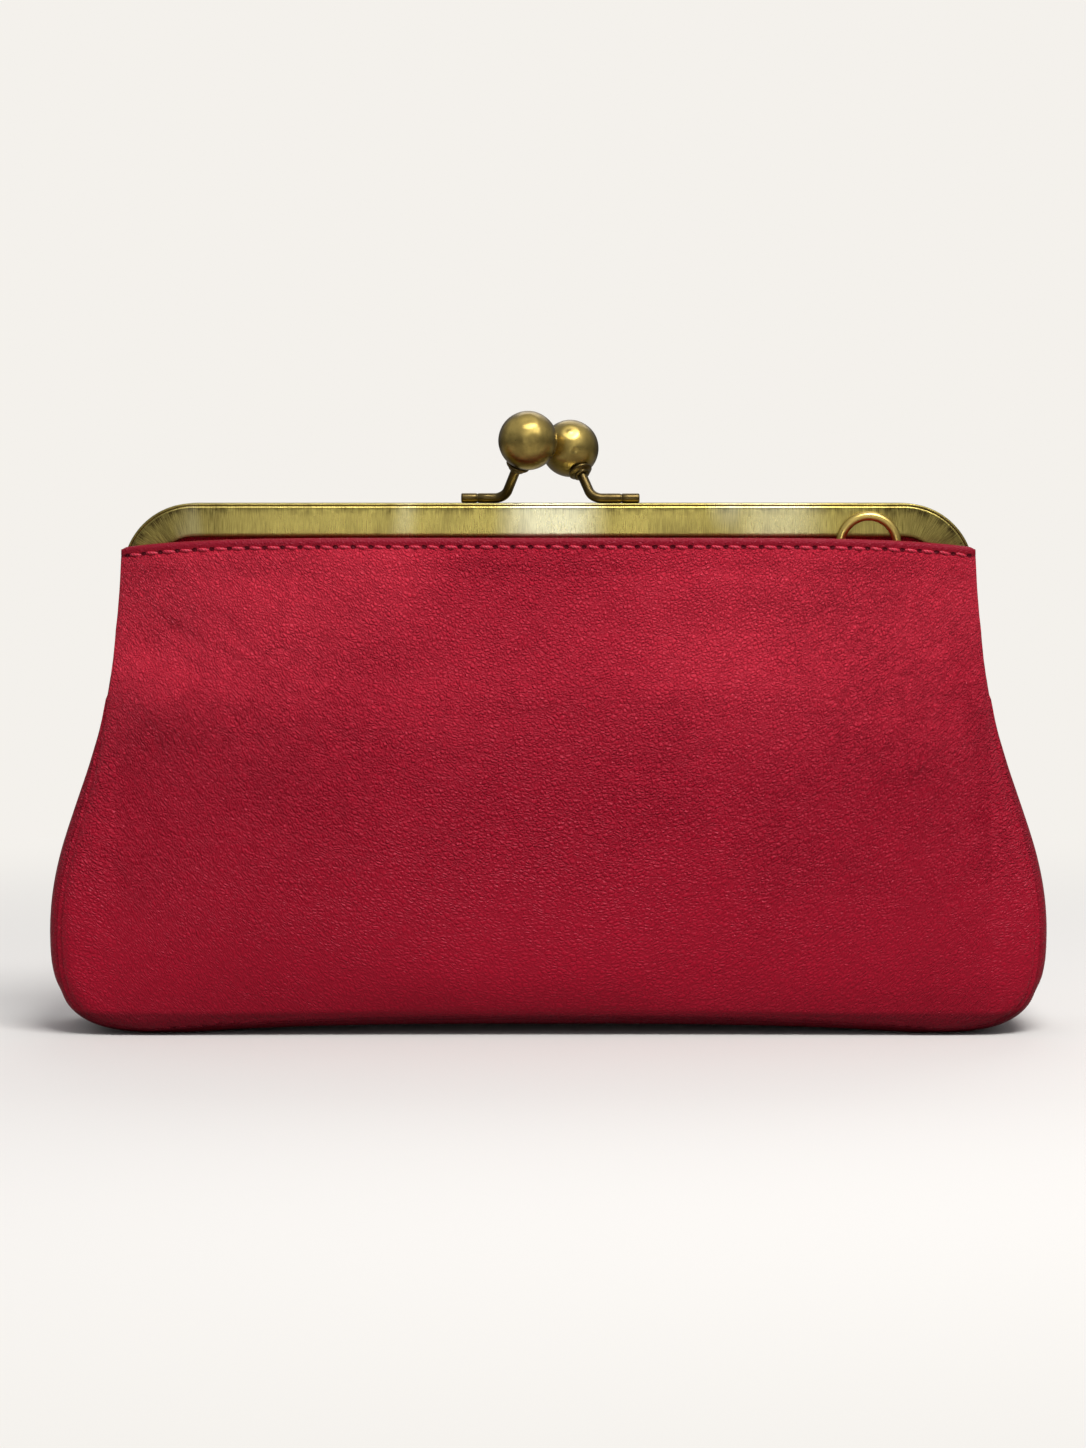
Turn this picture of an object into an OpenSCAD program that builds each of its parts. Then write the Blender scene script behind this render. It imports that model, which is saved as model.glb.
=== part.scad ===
// Kiss lock frame purse: a soft leather body hung in a two-part brass frame.
// Millimetres, +Z up, front towards -Y, origin on the ground under the middle.

/* [Overall] */
// Outer width of the brass frame
frame_w = 174.4; // [140:1:230]
// Height of the frame's top edge above the ground
frame_top = 108.2; // [88:0.5:140]
// Depth of the body from front to back at its fullest
body_d = 37; // [31:0.5:50]
// How far the body flares out past the frame on each side
side_flare = 14.4; // [6:0.2:24]

/* [Body outline] */
// Height of the widest point of the body
belly_z = 20.5; // [16:0.5:28]
// Length of each rounded lower corner along the ground
corner_run = 21.6; // [16:0.2:28]
// Height that the middle of the base arches off the ground
arch_h = 1.8; // [0.5:0.1:3]
// How far the flat foot area reaches inwards from each lower corner
foot_run = 6; // [3:0.5:10]
// How far the side strip swells out past its seams
seam_inset = 1.2; // [0.6:0.1:2]
// Depth left between the front and back seams beside the hinges
throat_d = 9.4; // [9:0.1:12]

/* [Leather and lining] */
// Thickness of the leather
leather_t = 1.1; // [0.8:0.05:1.3]
// Thickness of the lining cloth
lining_t = 0.4; // [0.3:0.05:0.6]
// Gap between one layer and the next
ply_gap = 0.3; // [0.2:0.05:0.4]

/* [Frame] */
// Height of the frame's face
rail_h = 7; // [6:0.1:9]
// Thickness of one half of the frame, front to back
rail_d = 5; // [4.6:0.1:6]
// Thickness of the frame's sheet metal
rail_wall = 0.8; // [0.6:0.05:1]
// Gap between the two closed halves
rail_gap = 0.6; // [0.4:0.1:1]
// Outer radius of the frame's corners
corner_r = 14.5; // [12:0.5:18]
// Radius of the rolled rim
rim_r = 0.6; // [0.3:0.05:0.8]
// Length from the top edge down to the hinge
leg_len = 28.2; // [26:0.2:34]
// Height above the hinge at which the channel of a leg ends
leg_end = 6; // [5:0.2:7]
// How far each half swings open, in degrees
open_angle = 35; // [20:1:35]

/* [Hinges] */
// Radius of the hinge ears
ear_r = 3.5; // [3:0.1:4]
// Diameter of the hinge rivets
rivet_d = 2.4; // [2:0.1:3]
// Diameter of the outer rivet heads
rivet_head_d = 4.6; // [4:0.1:5.4]
// Height of the rivet heads
rivet_head_t = 0.7; // [0.4:0.1:1]
// Side clearance between the ears, and under the heads
ear_gap = 0.1; // [0.06:0.01:0.2]
// Radial clearance of a pin that turns
running_fit = 0.05; // [0.02:0.01:0.1]

/* [Kiss lock] */
// Diameter of the ball that stands in front
front_ball_d = 12.1; // [10:0.1:14]
// Diameter of the ball that stands behind
rear_ball_d = 11.8; // [10:0.1:14]
// Distance of the front ball's middle to the left of the centre
front_ball_x = 4.2; // [3:0.1:6]
// Height of the front ball's middle above the frame
front_ball_up = 12.8; // [10:0.1:16]
// Distance of the rear ball's middle to the right of the centre
rear_ball_x = 4.5; // [3:0.1:6]
// Height of the rear ball's middle above the frame
rear_ball_up = 11.2; // [9:0.1:15]
// Gap between the closed balls
ball_gap = 0.05; // [0.02:0.01:0.2]
// Diameter of the stems
stem_d = 2; // [1.6:0.1:2.6]
// Length of the straight foot of a stem
foot_len = 9; // [6:0.5:12]
// Distance from the centre to the elbow of a stem
elbow_x = 9; // [8:0.1:11]
// Radius of the elbow's bend
elbow_r = 2.8; // [2:0.1:4]
// Diameter of the collars under the balls
collar_d = 4.4; // [3.6:0.1:5.4]
// Thickness of the collars
collar_t = 1.7; // [1:0.1:2.4]
// Depth that a stem reaches into its ball
stem_socket = 2; // [1:0.2:3]

/* [Ring and tab] */
// Distance of the ring's middle to the right of the centre
ring_x = 65.4; // [50:0.2:66]
// Outer width of the ring
ring_w = 13.4; // [11:0.1:16]
// Thickness of the ring's wire
ring_wire = 1.7; // [1.4:0.1:2.2]
// Height of the ring from its bar to its crown, outside
ring_h = 11.05; // [9:0.05:14]
// Inner bend radius of the ring's lower corners
ring_bend = 1; // [0.6:0.1:2]
// Height of the ring's crown below the frame's top edge
ring_down = 1.6; // [0.5:0.1:4]
// Gap between the ring's wire and the face of the frame
ring_stand = 0.85; // [0.5:0.05:2]
// Width of the leather tab
tab_w = 8; // [6:0.5:9]
// Length of the tab below the ring's bar
tab_len = 12; // [8:0.5:14]
// Thickness of one layer of the tab
tab_t = 0.8; // [0.6:0.05:1]

/* [Pocket] */
// Height of the pocket's hem in the middle, below the frame's top edge
hem_down = 6.9; // [6:0.1:9]
// How much lower the hem runs at its ends
hem_droop = 2.1; // [0.5:0.1:4]
// Depth of the turned hem behind the panel
hem_turn = 8; // [5:0.5:10]
// Thickness of the turned hem
hem_t = 0.75; // [0.5:0.05:0.8]
// How far the pocket's mouth stands in front of the frame in the middle
mouth_out = 7.5; // [6:0.1:10]
// Clearance between the hem and the frame at the sides
mouth_side_gap = 0.3; // [0.3:0.05:0.8]
// Distance of the stitch line below the hem
stitch_down = 1.85; // [1.5:0.05:3]
// Distance from one stitch to the next
stitch_pitch = 3.6; // [3:0.1:5]
// Visible length of a stitch
stitch_len = 2.5; // [1.8:0.1:2.9]
// Thickness of the thread
thread_d = 0.45; // [0.3:0.05:0.6]

/* [Inside] */
// Diameter of the paper cord that wedges the leather into the frame
cord_d = 1.3; // [1:0.05:1.4]
// Thickness of the stiffening board in the base
board_t = 1.2; // [0.8:0.1:2]
// Clearance between the stiffening board and the seams at its ends and sides
board_clear = 3.2; // [2.6:0.2:5]

/* [Hidden] */
$fn = 48;

// Colours
brass = [0.62, 0.56, 0.26];
dark_brass = [0.38, 0.33, 0.16];
red = [0.66, 0.08, 0.19];
dark_red = [0.45, 0.04, 0.12];
thread_red = [0.80, 0.12, 0.20];
lining_red = [0.36, 0.08, 0.11];
paper = [0.80, 0.74, 0.62];

// Main stations
half_frame = frame_w / 2;
half_belly = half_frame + side_flare;
half_foot = half_belly - corner_run;
half_d = body_d / 2;
hinge_z = frame_top - leg_len;
rail_in = rail_gap / 2;
rail_out = rail_in + rail_d;
corner_x = half_frame - corner_r;
corner_z = frame_top - corner_r;
rail_low = frame_top - rail_h;
hem_mid_z = frame_top - hem_down;
hem_end_z = hem_mid_z - hem_droop;

// Depth profiles, each the distance of an outer face from the middle plane
throat = throat_d / 2;
seam_full = half_d - leather_t - ply_gap - leather_t - 2.3;
crease_z = hinge_z - 10;
widest_z = belly_z + 1.5;
hem_ply = 0.05;
pocket_side = rail_out + mouth_side_gap + leather_t + hem_ply + hem_t;
pocket_top = rail_out + mouth_out;
pocket_fold = pocket_top + 1;
fold_clear = 0.3;
pocket_low_side = pocket_side + fold_clear + leather_t;
pocket_low_fold = pocket_fold + fold_clear + leather_t;
panel_face = rail_out - rail_wall - 0.2;
front_fold = panel_face + 3;
back_fold = panel_face + 3.6;
front_low_fold = front_fold + fold_clear + leather_t;
back_low_fold = back_fold + fold_clear + leather_t;
front_crease = front_low_fold - 0.5;

// Edges at the fold: the upper pieces end just under the hinge line and pass inside the lower ones
half_turn = tan(open_angle / 2);
fold_line = hinge_z;
function pocket_upper_low(u) = fold_line - mix(0.6, 2, fullness(u, fold_line));
function pocket_lower_top(u) =
  fold_line - 0.2 - 0.76 * half_turn * mix(pocket_low_side + 1.5, pocket_low_fold, fullness(u, fold_line));
panel_upper_low = fold_line - 0.9;
function back_lower_top(u) = fold_line - 0.3 - 0.42 * half_turn * back_low_fold;
// The front panel steps down at the sides, where the pocket swings in closest to it
function side_step(u) = ease((abs(u) - 0.58) / 0.12);
function front_lower_top(u) = back_lower_top(u) - 7.4 * side_step(u);
gusset_top = fold_line - ear_r - 1.5;
function back_lining_top(u) = fold_line - 5.6;
function front_lining_top(u) = back_lining_top(u) - 4.6 * side_step(u);
lining_lower_top = fold_line - 5.6;
lining_upper_low = fold_line + 0.3;

// Arithmetic helpers
function clamp(v, lo, hi) = max(lo, min(hi, v));
function ease(t) = let (c = clamp(t, 0, 1)) c * c * (3 - 2 * c);
function mix(a, b, t) = a + (b - a) * t;
function steps(a, b, n) = [for (i = [0:n]) mix(a, b, i / n)];
function unit2(v) = v / norm(v);
function bezier(p, t) =
  pow(1 - t, 3) * p[0] + 3 * t * pow(1 - t, 2) * p[1] + 3 * t * t * (1 - t) * p[2] + pow(t, 3) * p[3];
function bezier_dir(p, t) =
  unit2(pow(1 - t, 2) * (p[1] - p[0]) + 2 * t * (1 - t) * (p[2] - p[1]) + t * t * (p[3] - p[2]));
function bezier_at_z(p, z, lo = 0, hi = 1, n = 26) =
  let (m = (lo + hi) / 2)
  n == 0 ? m : bezier(p, m)[1] < z ? bezier_at_z(p, z, m, hi, n - 1) : bezier_at_z(p, z, lo, m, n - 1);

// Outline of the body seen from the front, right-hand side, as [x, z]
corner_curve = [
  [half_foot, 0], [half_belly - 3.6, 0], [half_belly, 6], [half_belly, belly_z]
];
side_curve = [
  [half_belly, belly_z], [half_belly, belly_z + 22],
  [half_frame + 1.4, hinge_z - 24], [half_frame, hem_end_z]
];
corner_share = 0.4;
function side_x(z) = bezier(side_curve, bezier_at_z(side_curve, z))[0];
function arch(x) = let (s = abs(x) / (half_foot - foot_run)) s < 1 ? arch_h * (1 - pow(s, 3)) : 0;
function inset_at(z) = seam_inset * (1 - pow(clamp((z - 45) / (hinge_z - 43), 0, 1), 2));
// A point of the outline from the foot (v = 0) up to a height (v = 1), moved inwards by a distance
function rim_point(v, top_z) =
  v < corner_share
  ? bezier(corner_curve, v / corner_share)
  : bezier(side_curve, (v - corner_share) / (1 - corner_share) * bezier_at_z(side_curve, top_z));
function rim_inward(v, top_z) =
  let (d = v < corner_share
    ? bezier_dir(corner_curve, v / corner_share)
    : bezier_dir(side_curve, (v - corner_share) / (1 - corner_share) * bezier_at_z(side_curve, top_z)))
  [-d[1], d[0]];
function seam_point(v, top_z) =
  let (p = rim_point(v, top_z)) p + inset_at(p[1]) * rim_inward(v, top_z);

// Depth of the seams, and of each panel's middle, at a height
function seam_depth(z) =
  throat + (seam_full - throat) * sin(90 * clamp((hinge_z + 1 - z) / (hinge_z - 18), 0, 1));
function low_round(z) = pow(clamp((widest_z - z) / (widest_z - 2.5), 0, 1), 2.2);
function full_depth(z, fold, power) =
  half_d - (half_d - fold) * pow(clamp((z - widest_z) / (hinge_z - widest_z), 0, 1.1), power)
  - 2.1 * low_round(z);
function fullness(u, z) = 1 - pow(abs(u), mix(3, 6, clamp((z - 30) / 50, 0, 1)));
function pocket_low_mid(z) = full_depth(z, pocket_low_fold, 2);
function pocket_low_edge(z) =
  seam_depth(z) + leather_t + ply_gap + leather_t
  + (pocket_low_side - throat - 2 * leather_t - ply_gap) * ease((z - 55) / (hinge_z - 58));
function front_low_mid(z) =
  z > crease_z
  ? mix(front_crease, front_low_fold, (z - crease_z) / (hinge_z - crease_z))
  : min(mix(front_crease, half_d - leather_t - ply_gap - 0.3, ease((crease_z - z) / 30)),
        pocket_low_mid(z) - leather_t - ply_gap);
function back_low_mid(z) = full_depth(z, back_low_fold, 1.6);
function panel_low_edge(z) = seam_depth(z) + leather_t;
function bowed(u, z, edge, middle) = mix(edge, middle, fullness(u, z));

// Skins: a grid over two faces, closed round the edge. faces are functions of u (-1 to 1) and v (0 to 1)
module skin(us, vs, outer, inner) {
  nu = len(us);
  nv = len(vs);
  count = nu * nv;
  points = concat(
    [for (v = vs) for (u = us) outer(u, v)],
    [for (v = vs) for (u = us) inner(u, v)]
  );
  function at(i, j) = i + j * nu;
  quads = concat(
    [for (j = [0:nv - 2]) for (i = [0:nu - 2])
      [at(i, j), at(i, j + 1), at(i + 1, j + 1), at(i + 1, j)]],
    [for (j = [0:nv - 2]) for (i = [0:nu - 2])
      [count + at(i, j), count + at(i + 1, j), count + at(i + 1, j + 1), count + at(i, j + 1)]],
    [for (i = [0:nu - 2]) [at(i, 0), at(i + 1, 0), count + at(i + 1, 0), count + at(i, 0)]],
    [for (i = [0:nu - 2])
      [at(i + 1, nv - 1), at(i, nv - 1), count + at(i, nv - 1), count + at(i + 1, nv - 1)]],
    [for (j = [0:nv - 2]) [at(0, j + 1), at(0, j), count + at(0, j), count + at(0, j + 1)]],
    [for (j = [0:nv - 2])
      [at(nu - 1, j), at(nu - 1, j + 1), count + at(nu - 1, j + 1), count + at(nu - 1, j)]]
  );
  triangles = [for (q = quads) each [[q[0], q[1], q[2]], [q[0], q[2], q[3]]]];
  polyhedron(points, triangles, convexity = 4);
}
// Columns that lie closer together towards the sides
function columns(n) = [for (i = [0:n]) sin(mix(-90, 90, i / n))];

// The lower panels hang between the seams. side is -1 for the front and 1 for the back
function low_panel_point(u, v, top, side, edge, middle, inwards) =
  let (
    rim = seam_point(v, top(u)),
    reach = rim[0] - inwards,
    x = u * reach,
    rise = (arch_h + seam_inset * 0.75) * (1 - pow(clamp(abs(x) / half_foot, 0, 1), 2.5)),
    z = rim[1] + rise * pow(clamp(1 - rim[1] / 14, 0, 1), 1.5) + inwards * clamp(1 - rim[1] / 12, 0, 1)
  )
  [x, side * bowed(u, rim[1], edge(rim[1]), middle(rim[1])), z];
module low_panel(cols, rows, top, side, edge, middle, thick, inwards = 0) {
  vs = steps(0, 1, rows);
  us = columns(cols);
  outer = function (u, v) low_panel_point(u, v, top, side, edge, middle, inwards);
  inner = function (u, v)
    let (p = outer(u, v)) [p[0], p[1] - side * thick, p[2]];
  if (side < 0) skin(us, vs, outer, inner);
  else skin(us, vs, inner, outer);
}

// The upper panels sit in the frame's channel and bow out below it
channel_edge = rail_wall + 0.4;
function up_half_width(z) =
  z < hinge_z + leg_end + 0.2 ? half_frame - 3
  : z < corner_z ? half_frame - channel_edge
  : corner_x + sqrt(max(0, pow(corner_r - channel_edge, 2) - pow(z - corner_z, 2)));
// Distance of a point from the channel's inner edge, seen from the front
function channel_far(x, z) =
  abs(x) > corner_x && z > corner_z
  ? corner_r - rail_h - norm([abs(x) - corner_x, z - corner_z])
  : min(half_frame - rail_h - abs(x), rail_low - z);
function up_bow(x, z, fold) =
  (fold - panel_face)
  * (1 - pow(clamp(abs(x) / (half_frame - rail_h - 1.2), 0, 1), 4))
  * pow(clamp((rail_low - z) / (rail_low - hinge_z), 0, 1.1), 0.8)
  * clamp((channel_far(x, z) - 1) / 2, 0, 1);
function up_rows(low) = concat(
  steps(low, hinge_z + leg_end, 3),
  steps(hinge_z + leg_end + 0.4, corner_z, 2),
  [for (a = [15:15:60]) corner_z + (corner_r - channel_edge) * sin(a)],
  [corner_z + (corner_r - channel_edge) * sin(75), frame_top - channel_edge]
);
module up_panel(cols, low, side, fold, behind, thick) {
  zs = up_rows(low);
  outer = function (u, z)
    let (x = u * up_half_width(z))
    [x, side * (panel_face + up_bow(x, z, fold) - behind), z];
  inner = function (u, z)
    let (p = outer(u, z)) [p[0], p[1] - side * thick, p[2]];
  us = columns(cols);
  if (side < 0) skin(us, zs, outer, inner);
  else skin(us, zs, inner, outer);
}

// The frame's section, with x towards the outside of the bend and y across its thickness
module rail_section() {
  difference() {
    union() {
      translate([0, rail_in]) square([rail_h - rim_r, rail_d]);
      translate([0, rail_in + rim_r]) square([rail_h, rail_d - 2 * rim_r]);
      translate([rail_h - rim_r, rail_in + rim_r]) circle(rim_r, $fn = 24);
      translate([rail_h - rim_r, rail_out - rim_r]) circle(rim_r, $fn = 24);
    }
    translate([-1, rail_in + rail_wall])
      square([rail_h - rail_wall + 1, rail_d - 2 * rail_wall]);
  }
}
// Runs a section round the frame from leg to leg. inside is the section's distance from the outer edge
module frame_run(inside, leg_low) {
  translate([-corner_x, 0, frame_top - inside])
    rotate([180, -90, 0]) linear_extrude(2 * corner_x) children();
  for (side = [0, 1]) mirror([side, 0, 0]) {
    translate([corner_x, 0, corner_z])
      rotate([90, 0, 0]) rotate_extrude(angle = 90, $fn = 96)
        translate([corner_r - inside, 0]) children();
    translate([half_frame - inside, 0, corner_z])
      rotate([180, 0, 0]) linear_extrude(corner_z - leg_low) children();
  }
}
// The ear of a front leg, seen along X with y to the right and z up from the hinge
module ear_outline() {
  difference() {
    union() {
      circle(ear_r);
      polygon([
        [-rail_out, leg_end], [-rail_in, leg_end],
        [ear_r * sin(20), ear_r * cos(20)], [0, 0], [-ear_r * cos(15.5), -ear_r * sin(15.5)]
      ]);
    }
    circle(rivet_d / 2 + running_fit);
  }
}
module ear(x_out) {
  translate([x_out - rail_wall, 0, hinge_z])
    rotate([90, 0, 90]) linear_extrude(rail_wall) ear_outline();
}
inner_ear_x = half_frame - rail_wall - ear_gap;
module front_frame() {
  color(brass) union() {
    frame_run(rail_h, hinge_z + leg_end) rail_section();
    for (side = [0, 1]) mirror([side, 0, 0]) ear(half_frame);
  }
}
module back_frame() {
  color(brass) mirror([0, 1, 0]) union() {
    frame_run(rail_h, hinge_z + leg_end) rail_section();
    for (side = [0, 1]) mirror([side, 0, 0]) {
      ear(inner_ear_x);
      translate([inner_ear_x - rail_wall, -rail_out, hinge_z + leg_end - rail_wall])
        cube([half_frame - inner_ear_x + rail_wall, rail_d, rail_wall]);
    }
  }
}

// Rivets that pin the two halves together at the sides
rivet_in = inner_ear_x - rail_wall - ear_gap;
rivet_out = half_frame + ear_gap;
module hinge_rivet() {
  color(dark_brass) translate([0, 0, hinge_z]) rotate([0, 90, 0]) {
    translate([0, 0, rivet_in - rivet_head_t])
      cylinder(d = rivet_head_d - 1, h = rivet_head_t);
    translate([0, 0, rivet_in - rivet_head_t / 2])
      cylinder(d = rivet_d, h = rivet_out - rivet_in + rivet_head_t);
    translate([0, 0, rivet_out])
      cylinder(d1 = rivet_head_d, d2 = rivet_head_d - 1.2, h = rivet_head_t);
  }
}
module hinge_rivet_right() hinge_rivet();
module hinge_rivet_left() mirror([1, 0, 0]) hinge_rivet();

// Kiss lock: each ball stands on the far half of the frame and leans over to the near one
ball_apart_x = front_ball_x + rear_ball_x;
ball_apart_z = front_ball_up - rear_ball_up;
ball_reach = (front_ball_d + rear_ball_d) / 2 + ball_gap;
ball_y = sqrt(max(1, pow(ball_reach, 2) - pow(ball_apart_x, 2) - pow(ball_apart_z, 2))) / 2;
rail_mid = rail_in + rail_d / 2;
foot_up = stem_d / 2;
// Lengths in the plane of the bend, for a lock at the left that leans to -Y
function arm_side(ball_x) = elbow_x - ball_x;
function arm_over(up) = norm([ball_y + rail_mid, up - foot_up]);
function arm_pitch(ball_x, up) = atan2(arm_over(up), arm_side(ball_x));
function arm_lean(up) = atan2(ball_y + rail_mid, up - foot_up);
function arm_len(ball_x, up) = norm([arm_side(ball_x), arm_over(up)]);
module on_arm(ball_x, up) {
  translate([-elbow_x, rail_mid, frame_top + foot_up])
    rotate([arm_lean(up), 0, 0]) rotate([0, 90 - arm_pitch(ball_x, up), 0]) children();
}
// The arm is a hair thinner than the bend that it runs into
arm_d = stem_d - 0.04;
module lock_stem(ball_x, up, ball_d) {
  pitch = arm_pitch(ball_x, up);
  bend = elbow_r * tan(pitch / 2);
  arm_start = bend - 0.3;
  color(dark_brass) translate([-elbow_x, rail_mid, frame_top + foot_up]) rotate([arm_lean(up), 0, 0])
  union() {
    translate([-foot_len, 0, 0]) rotate([0, 90, 0])
      cylinder(d = stem_d, h = foot_len - bend, $fn = 32);
    translate([-bend, 0, elbow_r]) rotate([90, 0, 0]) rotate([0, 0, -90])
      rotate_extrude(angle = pitch, $fn = 64) translate([elbow_r, 0]) circle(d = stem_d, $fn = 32);
    rotate([0, 90 - pitch, 0]) translate([0, 0, arm_start])
      cylinder(d = arm_d, h = arm_len(ball_x, up) - ball_d / 2 + stem_socket - arm_start, $fn = 32);
  }
}
module lock_collar(ball_x, up, ball_d) {
  top = arm_len(ball_x, up) - ball_d / 2 + 0.35;
  color(dark_brass) on_arm(ball_x, up) difference() {
    translate([0, 0, top - collar_t - 0.35]) cylinder(d = collar_d, h = collar_t + 0.35, $fn = 32);
    translate([0, 0, top - collar_t - 1]) cylinder(d = stem_d + 0.04, h = collar_t + 2, $fn = 32);
    translate([0, 0, arm_len(ball_x, up)]) sphere(d = ball_d + 0.04, $fn = 64);
  }
}
module lock_ball(ball_x, up, ball_d) {
  color(brass) on_arm(ball_x, up) difference() {
    translate([0, 0, arm_len(ball_x, up)]) sphere(d = ball_d, $fn = 64);
    translate([0, 0, arm_len(ball_x, up) - ball_d / 2 - 1])
      cylinder(d = stem_d + 0.06, h = 1 + stem_socket + 0.1, $fn = 32);
  }
}
module to_right_rear() mirror([1, 0, 0]) mirror([0, 1, 0]) children();
module back_lock_stem() lock_stem(front_ball_x, front_ball_up, front_ball_d);
module back_lock_collar() lock_collar(front_ball_x, front_ball_up, front_ball_d);
module back_lock_ball() lock_ball(front_ball_x, front_ball_up, front_ball_d);
module front_lock_stem() to_right_rear() lock_stem(rear_ball_x, rear_ball_up, rear_ball_d);
module front_lock_collar() to_right_rear() lock_collar(rear_ball_x, rear_ball_up, rear_ball_d);
module front_lock_ball() to_right_rear() lock_ball(rear_ball_x, rear_ball_up, rear_ball_d);

// The upper linings lie close behind the leather, so that both fit the channel
lining_seat = leather_t + 0.18;

// Paper cords that wedge leather and lining into the channel, pressed oval to the room that is left
cord_clear = 0.11;
cord_room = panel_face - lining_seat - lining_t - rail_in - rail_wall;
cord_press = cord_room - 2 * cord_clear;
cord_y = rail_in + rail_wall + cord_room / 2;
cord_depth = rail_wall + 1 + cord_d / 2;
module cord_section() {
  translate([0, cord_y]) scale([1, cord_press / cord_d]) circle(d = cord_d, $fn = 24);
}
module front_channel_cord() {
  color(paper) frame_run(cord_depth, hinge_z + leg_end + 1) cord_section();
}
module back_channel_cord() {
  color(paper) mirror([0, 1, 0]) frame_run(cord_depth, hinge_z + leg_end + 1) cord_section();
}

// Ring and the leather tab that carries it
ring_y = -(rail_out + ring_stand + ring_wire / 2);
ring_bar_z = frame_top - ring_down - ring_h + ring_wire / 2;
ring_arc = (ring_w - ring_wire) / 2;
ring_turn = ring_bend + ring_wire / 2;
ring_arc_z = frame_top - ring_down - ring_w / 2;
module ring_wire_section() circle(d = ring_wire, $fn = 24);
module d_ring() {
  color(brass) translate([ring_x, ring_y, 0]) union() {
    translate([0, 0, ring_arc_z]) rotate([90, 0, 0])
      rotate_extrude(angle = 180, $fn = 96) translate([ring_arc, 0]) ring_wire_section();
    translate([-ring_arc + ring_turn, 0, ring_bar_z]) rotate([0, 90, 0])
      cylinder(d = ring_wire, h = 2 * (ring_arc - ring_turn), $fn = 24);
    for (side = [0, 1]) mirror([side, 0, 0]) {
      translate([ring_arc, 0, ring_bar_z + ring_turn])
        cylinder(d = ring_wire, h = ring_arc_z - ring_bar_z - ring_turn, $fn = 24);
      translate([ring_arc - ring_turn, 0, ring_bar_z + ring_turn]) rotate([90, 0, 0])
        rotate([0, 0, -90]) rotate_extrude(angle = 90, $fn = 64)
          translate([ring_turn, 0]) ring_wire_section();
    }
  }
}
tab_hole_r = ring_wire / 2 + running_fit + 0.03;
tab_loop_r = tab_hole_r + tab_t;
tab_slope = atan2(
  up_bow(ring_x, ring_bar_z - tab_len, front_fold) - up_bow(ring_x, ring_bar_z, front_fold), tab_len);
module at_tab() {
  translate([ring_x - tab_w / 2, ring_y, ring_bar_z]) children();
}
module ring_tab() {
  color(dark_red) at_tab() difference() {
    union() {
      rotate([0, 90, 0]) cylinder(r = tab_loop_r, h = tab_w);
      rotate([-tab_slope, 0, 0]) translate([0, tab_loop_r - 2 * tab_t, -tab_len])
        cube([tab_w, 2 * tab_t, tab_len]);
    }
    translate([-1, 0, 0]) rotate([0, 90, 0]) cylinder(r = tab_hole_r, h = tab_w + 2);
  }
}
tab_stitches = 3;
module ring_tab_stitches() {
  color(thread_red) at_tab() rotate([-tab_slope, 0, 0])
    for (row = [-tab_len + 2, -tab_len + 5]) for (i = [0:tab_stitches - 1])
      translate([tab_w * (i + 0.5) / tab_stitches - stitch_len / 3,
                 tab_loop_r - 2 * tab_t - thread_d / 2 - 0.02, row])
        rotate([0, 90, 0]) cylinder(d = thread_d, h = stitch_len / 1.5, $fn = 13);
}

// Pocket: a panel in front of the body, hemmed at its mouth
function hem_z(x) = hem_mid_z - hem_droop * pow(clamp(abs(x) / half_frame, 0, 1), 6);
function pocket_up_mid(z) = mix(pocket_fold, pocket_top, (z - hinge_z) / (hem_mid_z - hinge_z));
function pocket_up_point(u, v, behind, top_cut, low) =
  let (
    rough_z = mix(low(u), hem_mid_z, v),
    x = u * side_x(min(hem_end_z, rough_z)),
    z = mix(low(u), hem_z(x) - top_cut, v)
  )
  [x, -(bowed(u, z, pocket_side, pocket_up_mid(z)) - behind), z];
module pocket_panel_upper() {
  color(red) skin(columns(28), steps(0, 1, 6),
    function (u, v) pocket_up_point(u, v, 0, 0.3, function (u) pocket_upper_low(u)),
    function (u, v) pocket_up_point(u, v, leather_t, 0.3, function (u) pocket_upper_low(u)));
}
module pocket_hem() {
  color(dark_red) skin(columns(28), steps(0, 1, 2),
    function (u, v) pocket_up_point(u, v, leather_t + hem_ply, 0, function (u) hem_mid_z - hem_turn),
    function (u, v) pocket_up_point(u, v, leather_t + hem_ply + hem_t, 0, function (u) hem_mid_z - hem_turn));
}
module pocket_panel_lower() {
  color(red) low_panel(28, 16, function (u) pocket_lower_top(u), -1,
    function (z) pocket_low_edge(z), function (z) pocket_low_mid(z), leather_t);
}
stitch_count = 2 * floor((half_frame - 1.5) / stitch_pitch);
module pocket_hem_stitches() {
  color(thread_red) for (i = [0:stitch_count - 1]) {
    x = (i - (stitch_count - 1) / 2) * stitch_pitch;
    z = hem_z(x) - stitch_down;
    u = x / side_x(z);
    y = -bowed(u, z, pocket_side, pocket_up_mid(z));
    ahead = (x + 1) / side_x(z);
    turn = atan2(-bowed(ahead, z, pocket_side, pocket_up_mid(z)) - y, 1);
    fall = atan2(hem_z(x + 1) - hem_z(x), 1);
    translate([x, y - thread_d / 2 - 0.05, z]) rotate([0, -fall, turn])
      translate([-stitch_len / 2, 0, 0]) rotate([0, 90, 0])
        cylinder(d = thread_d, h = stitch_len, $fn = 13);
  }
}

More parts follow.
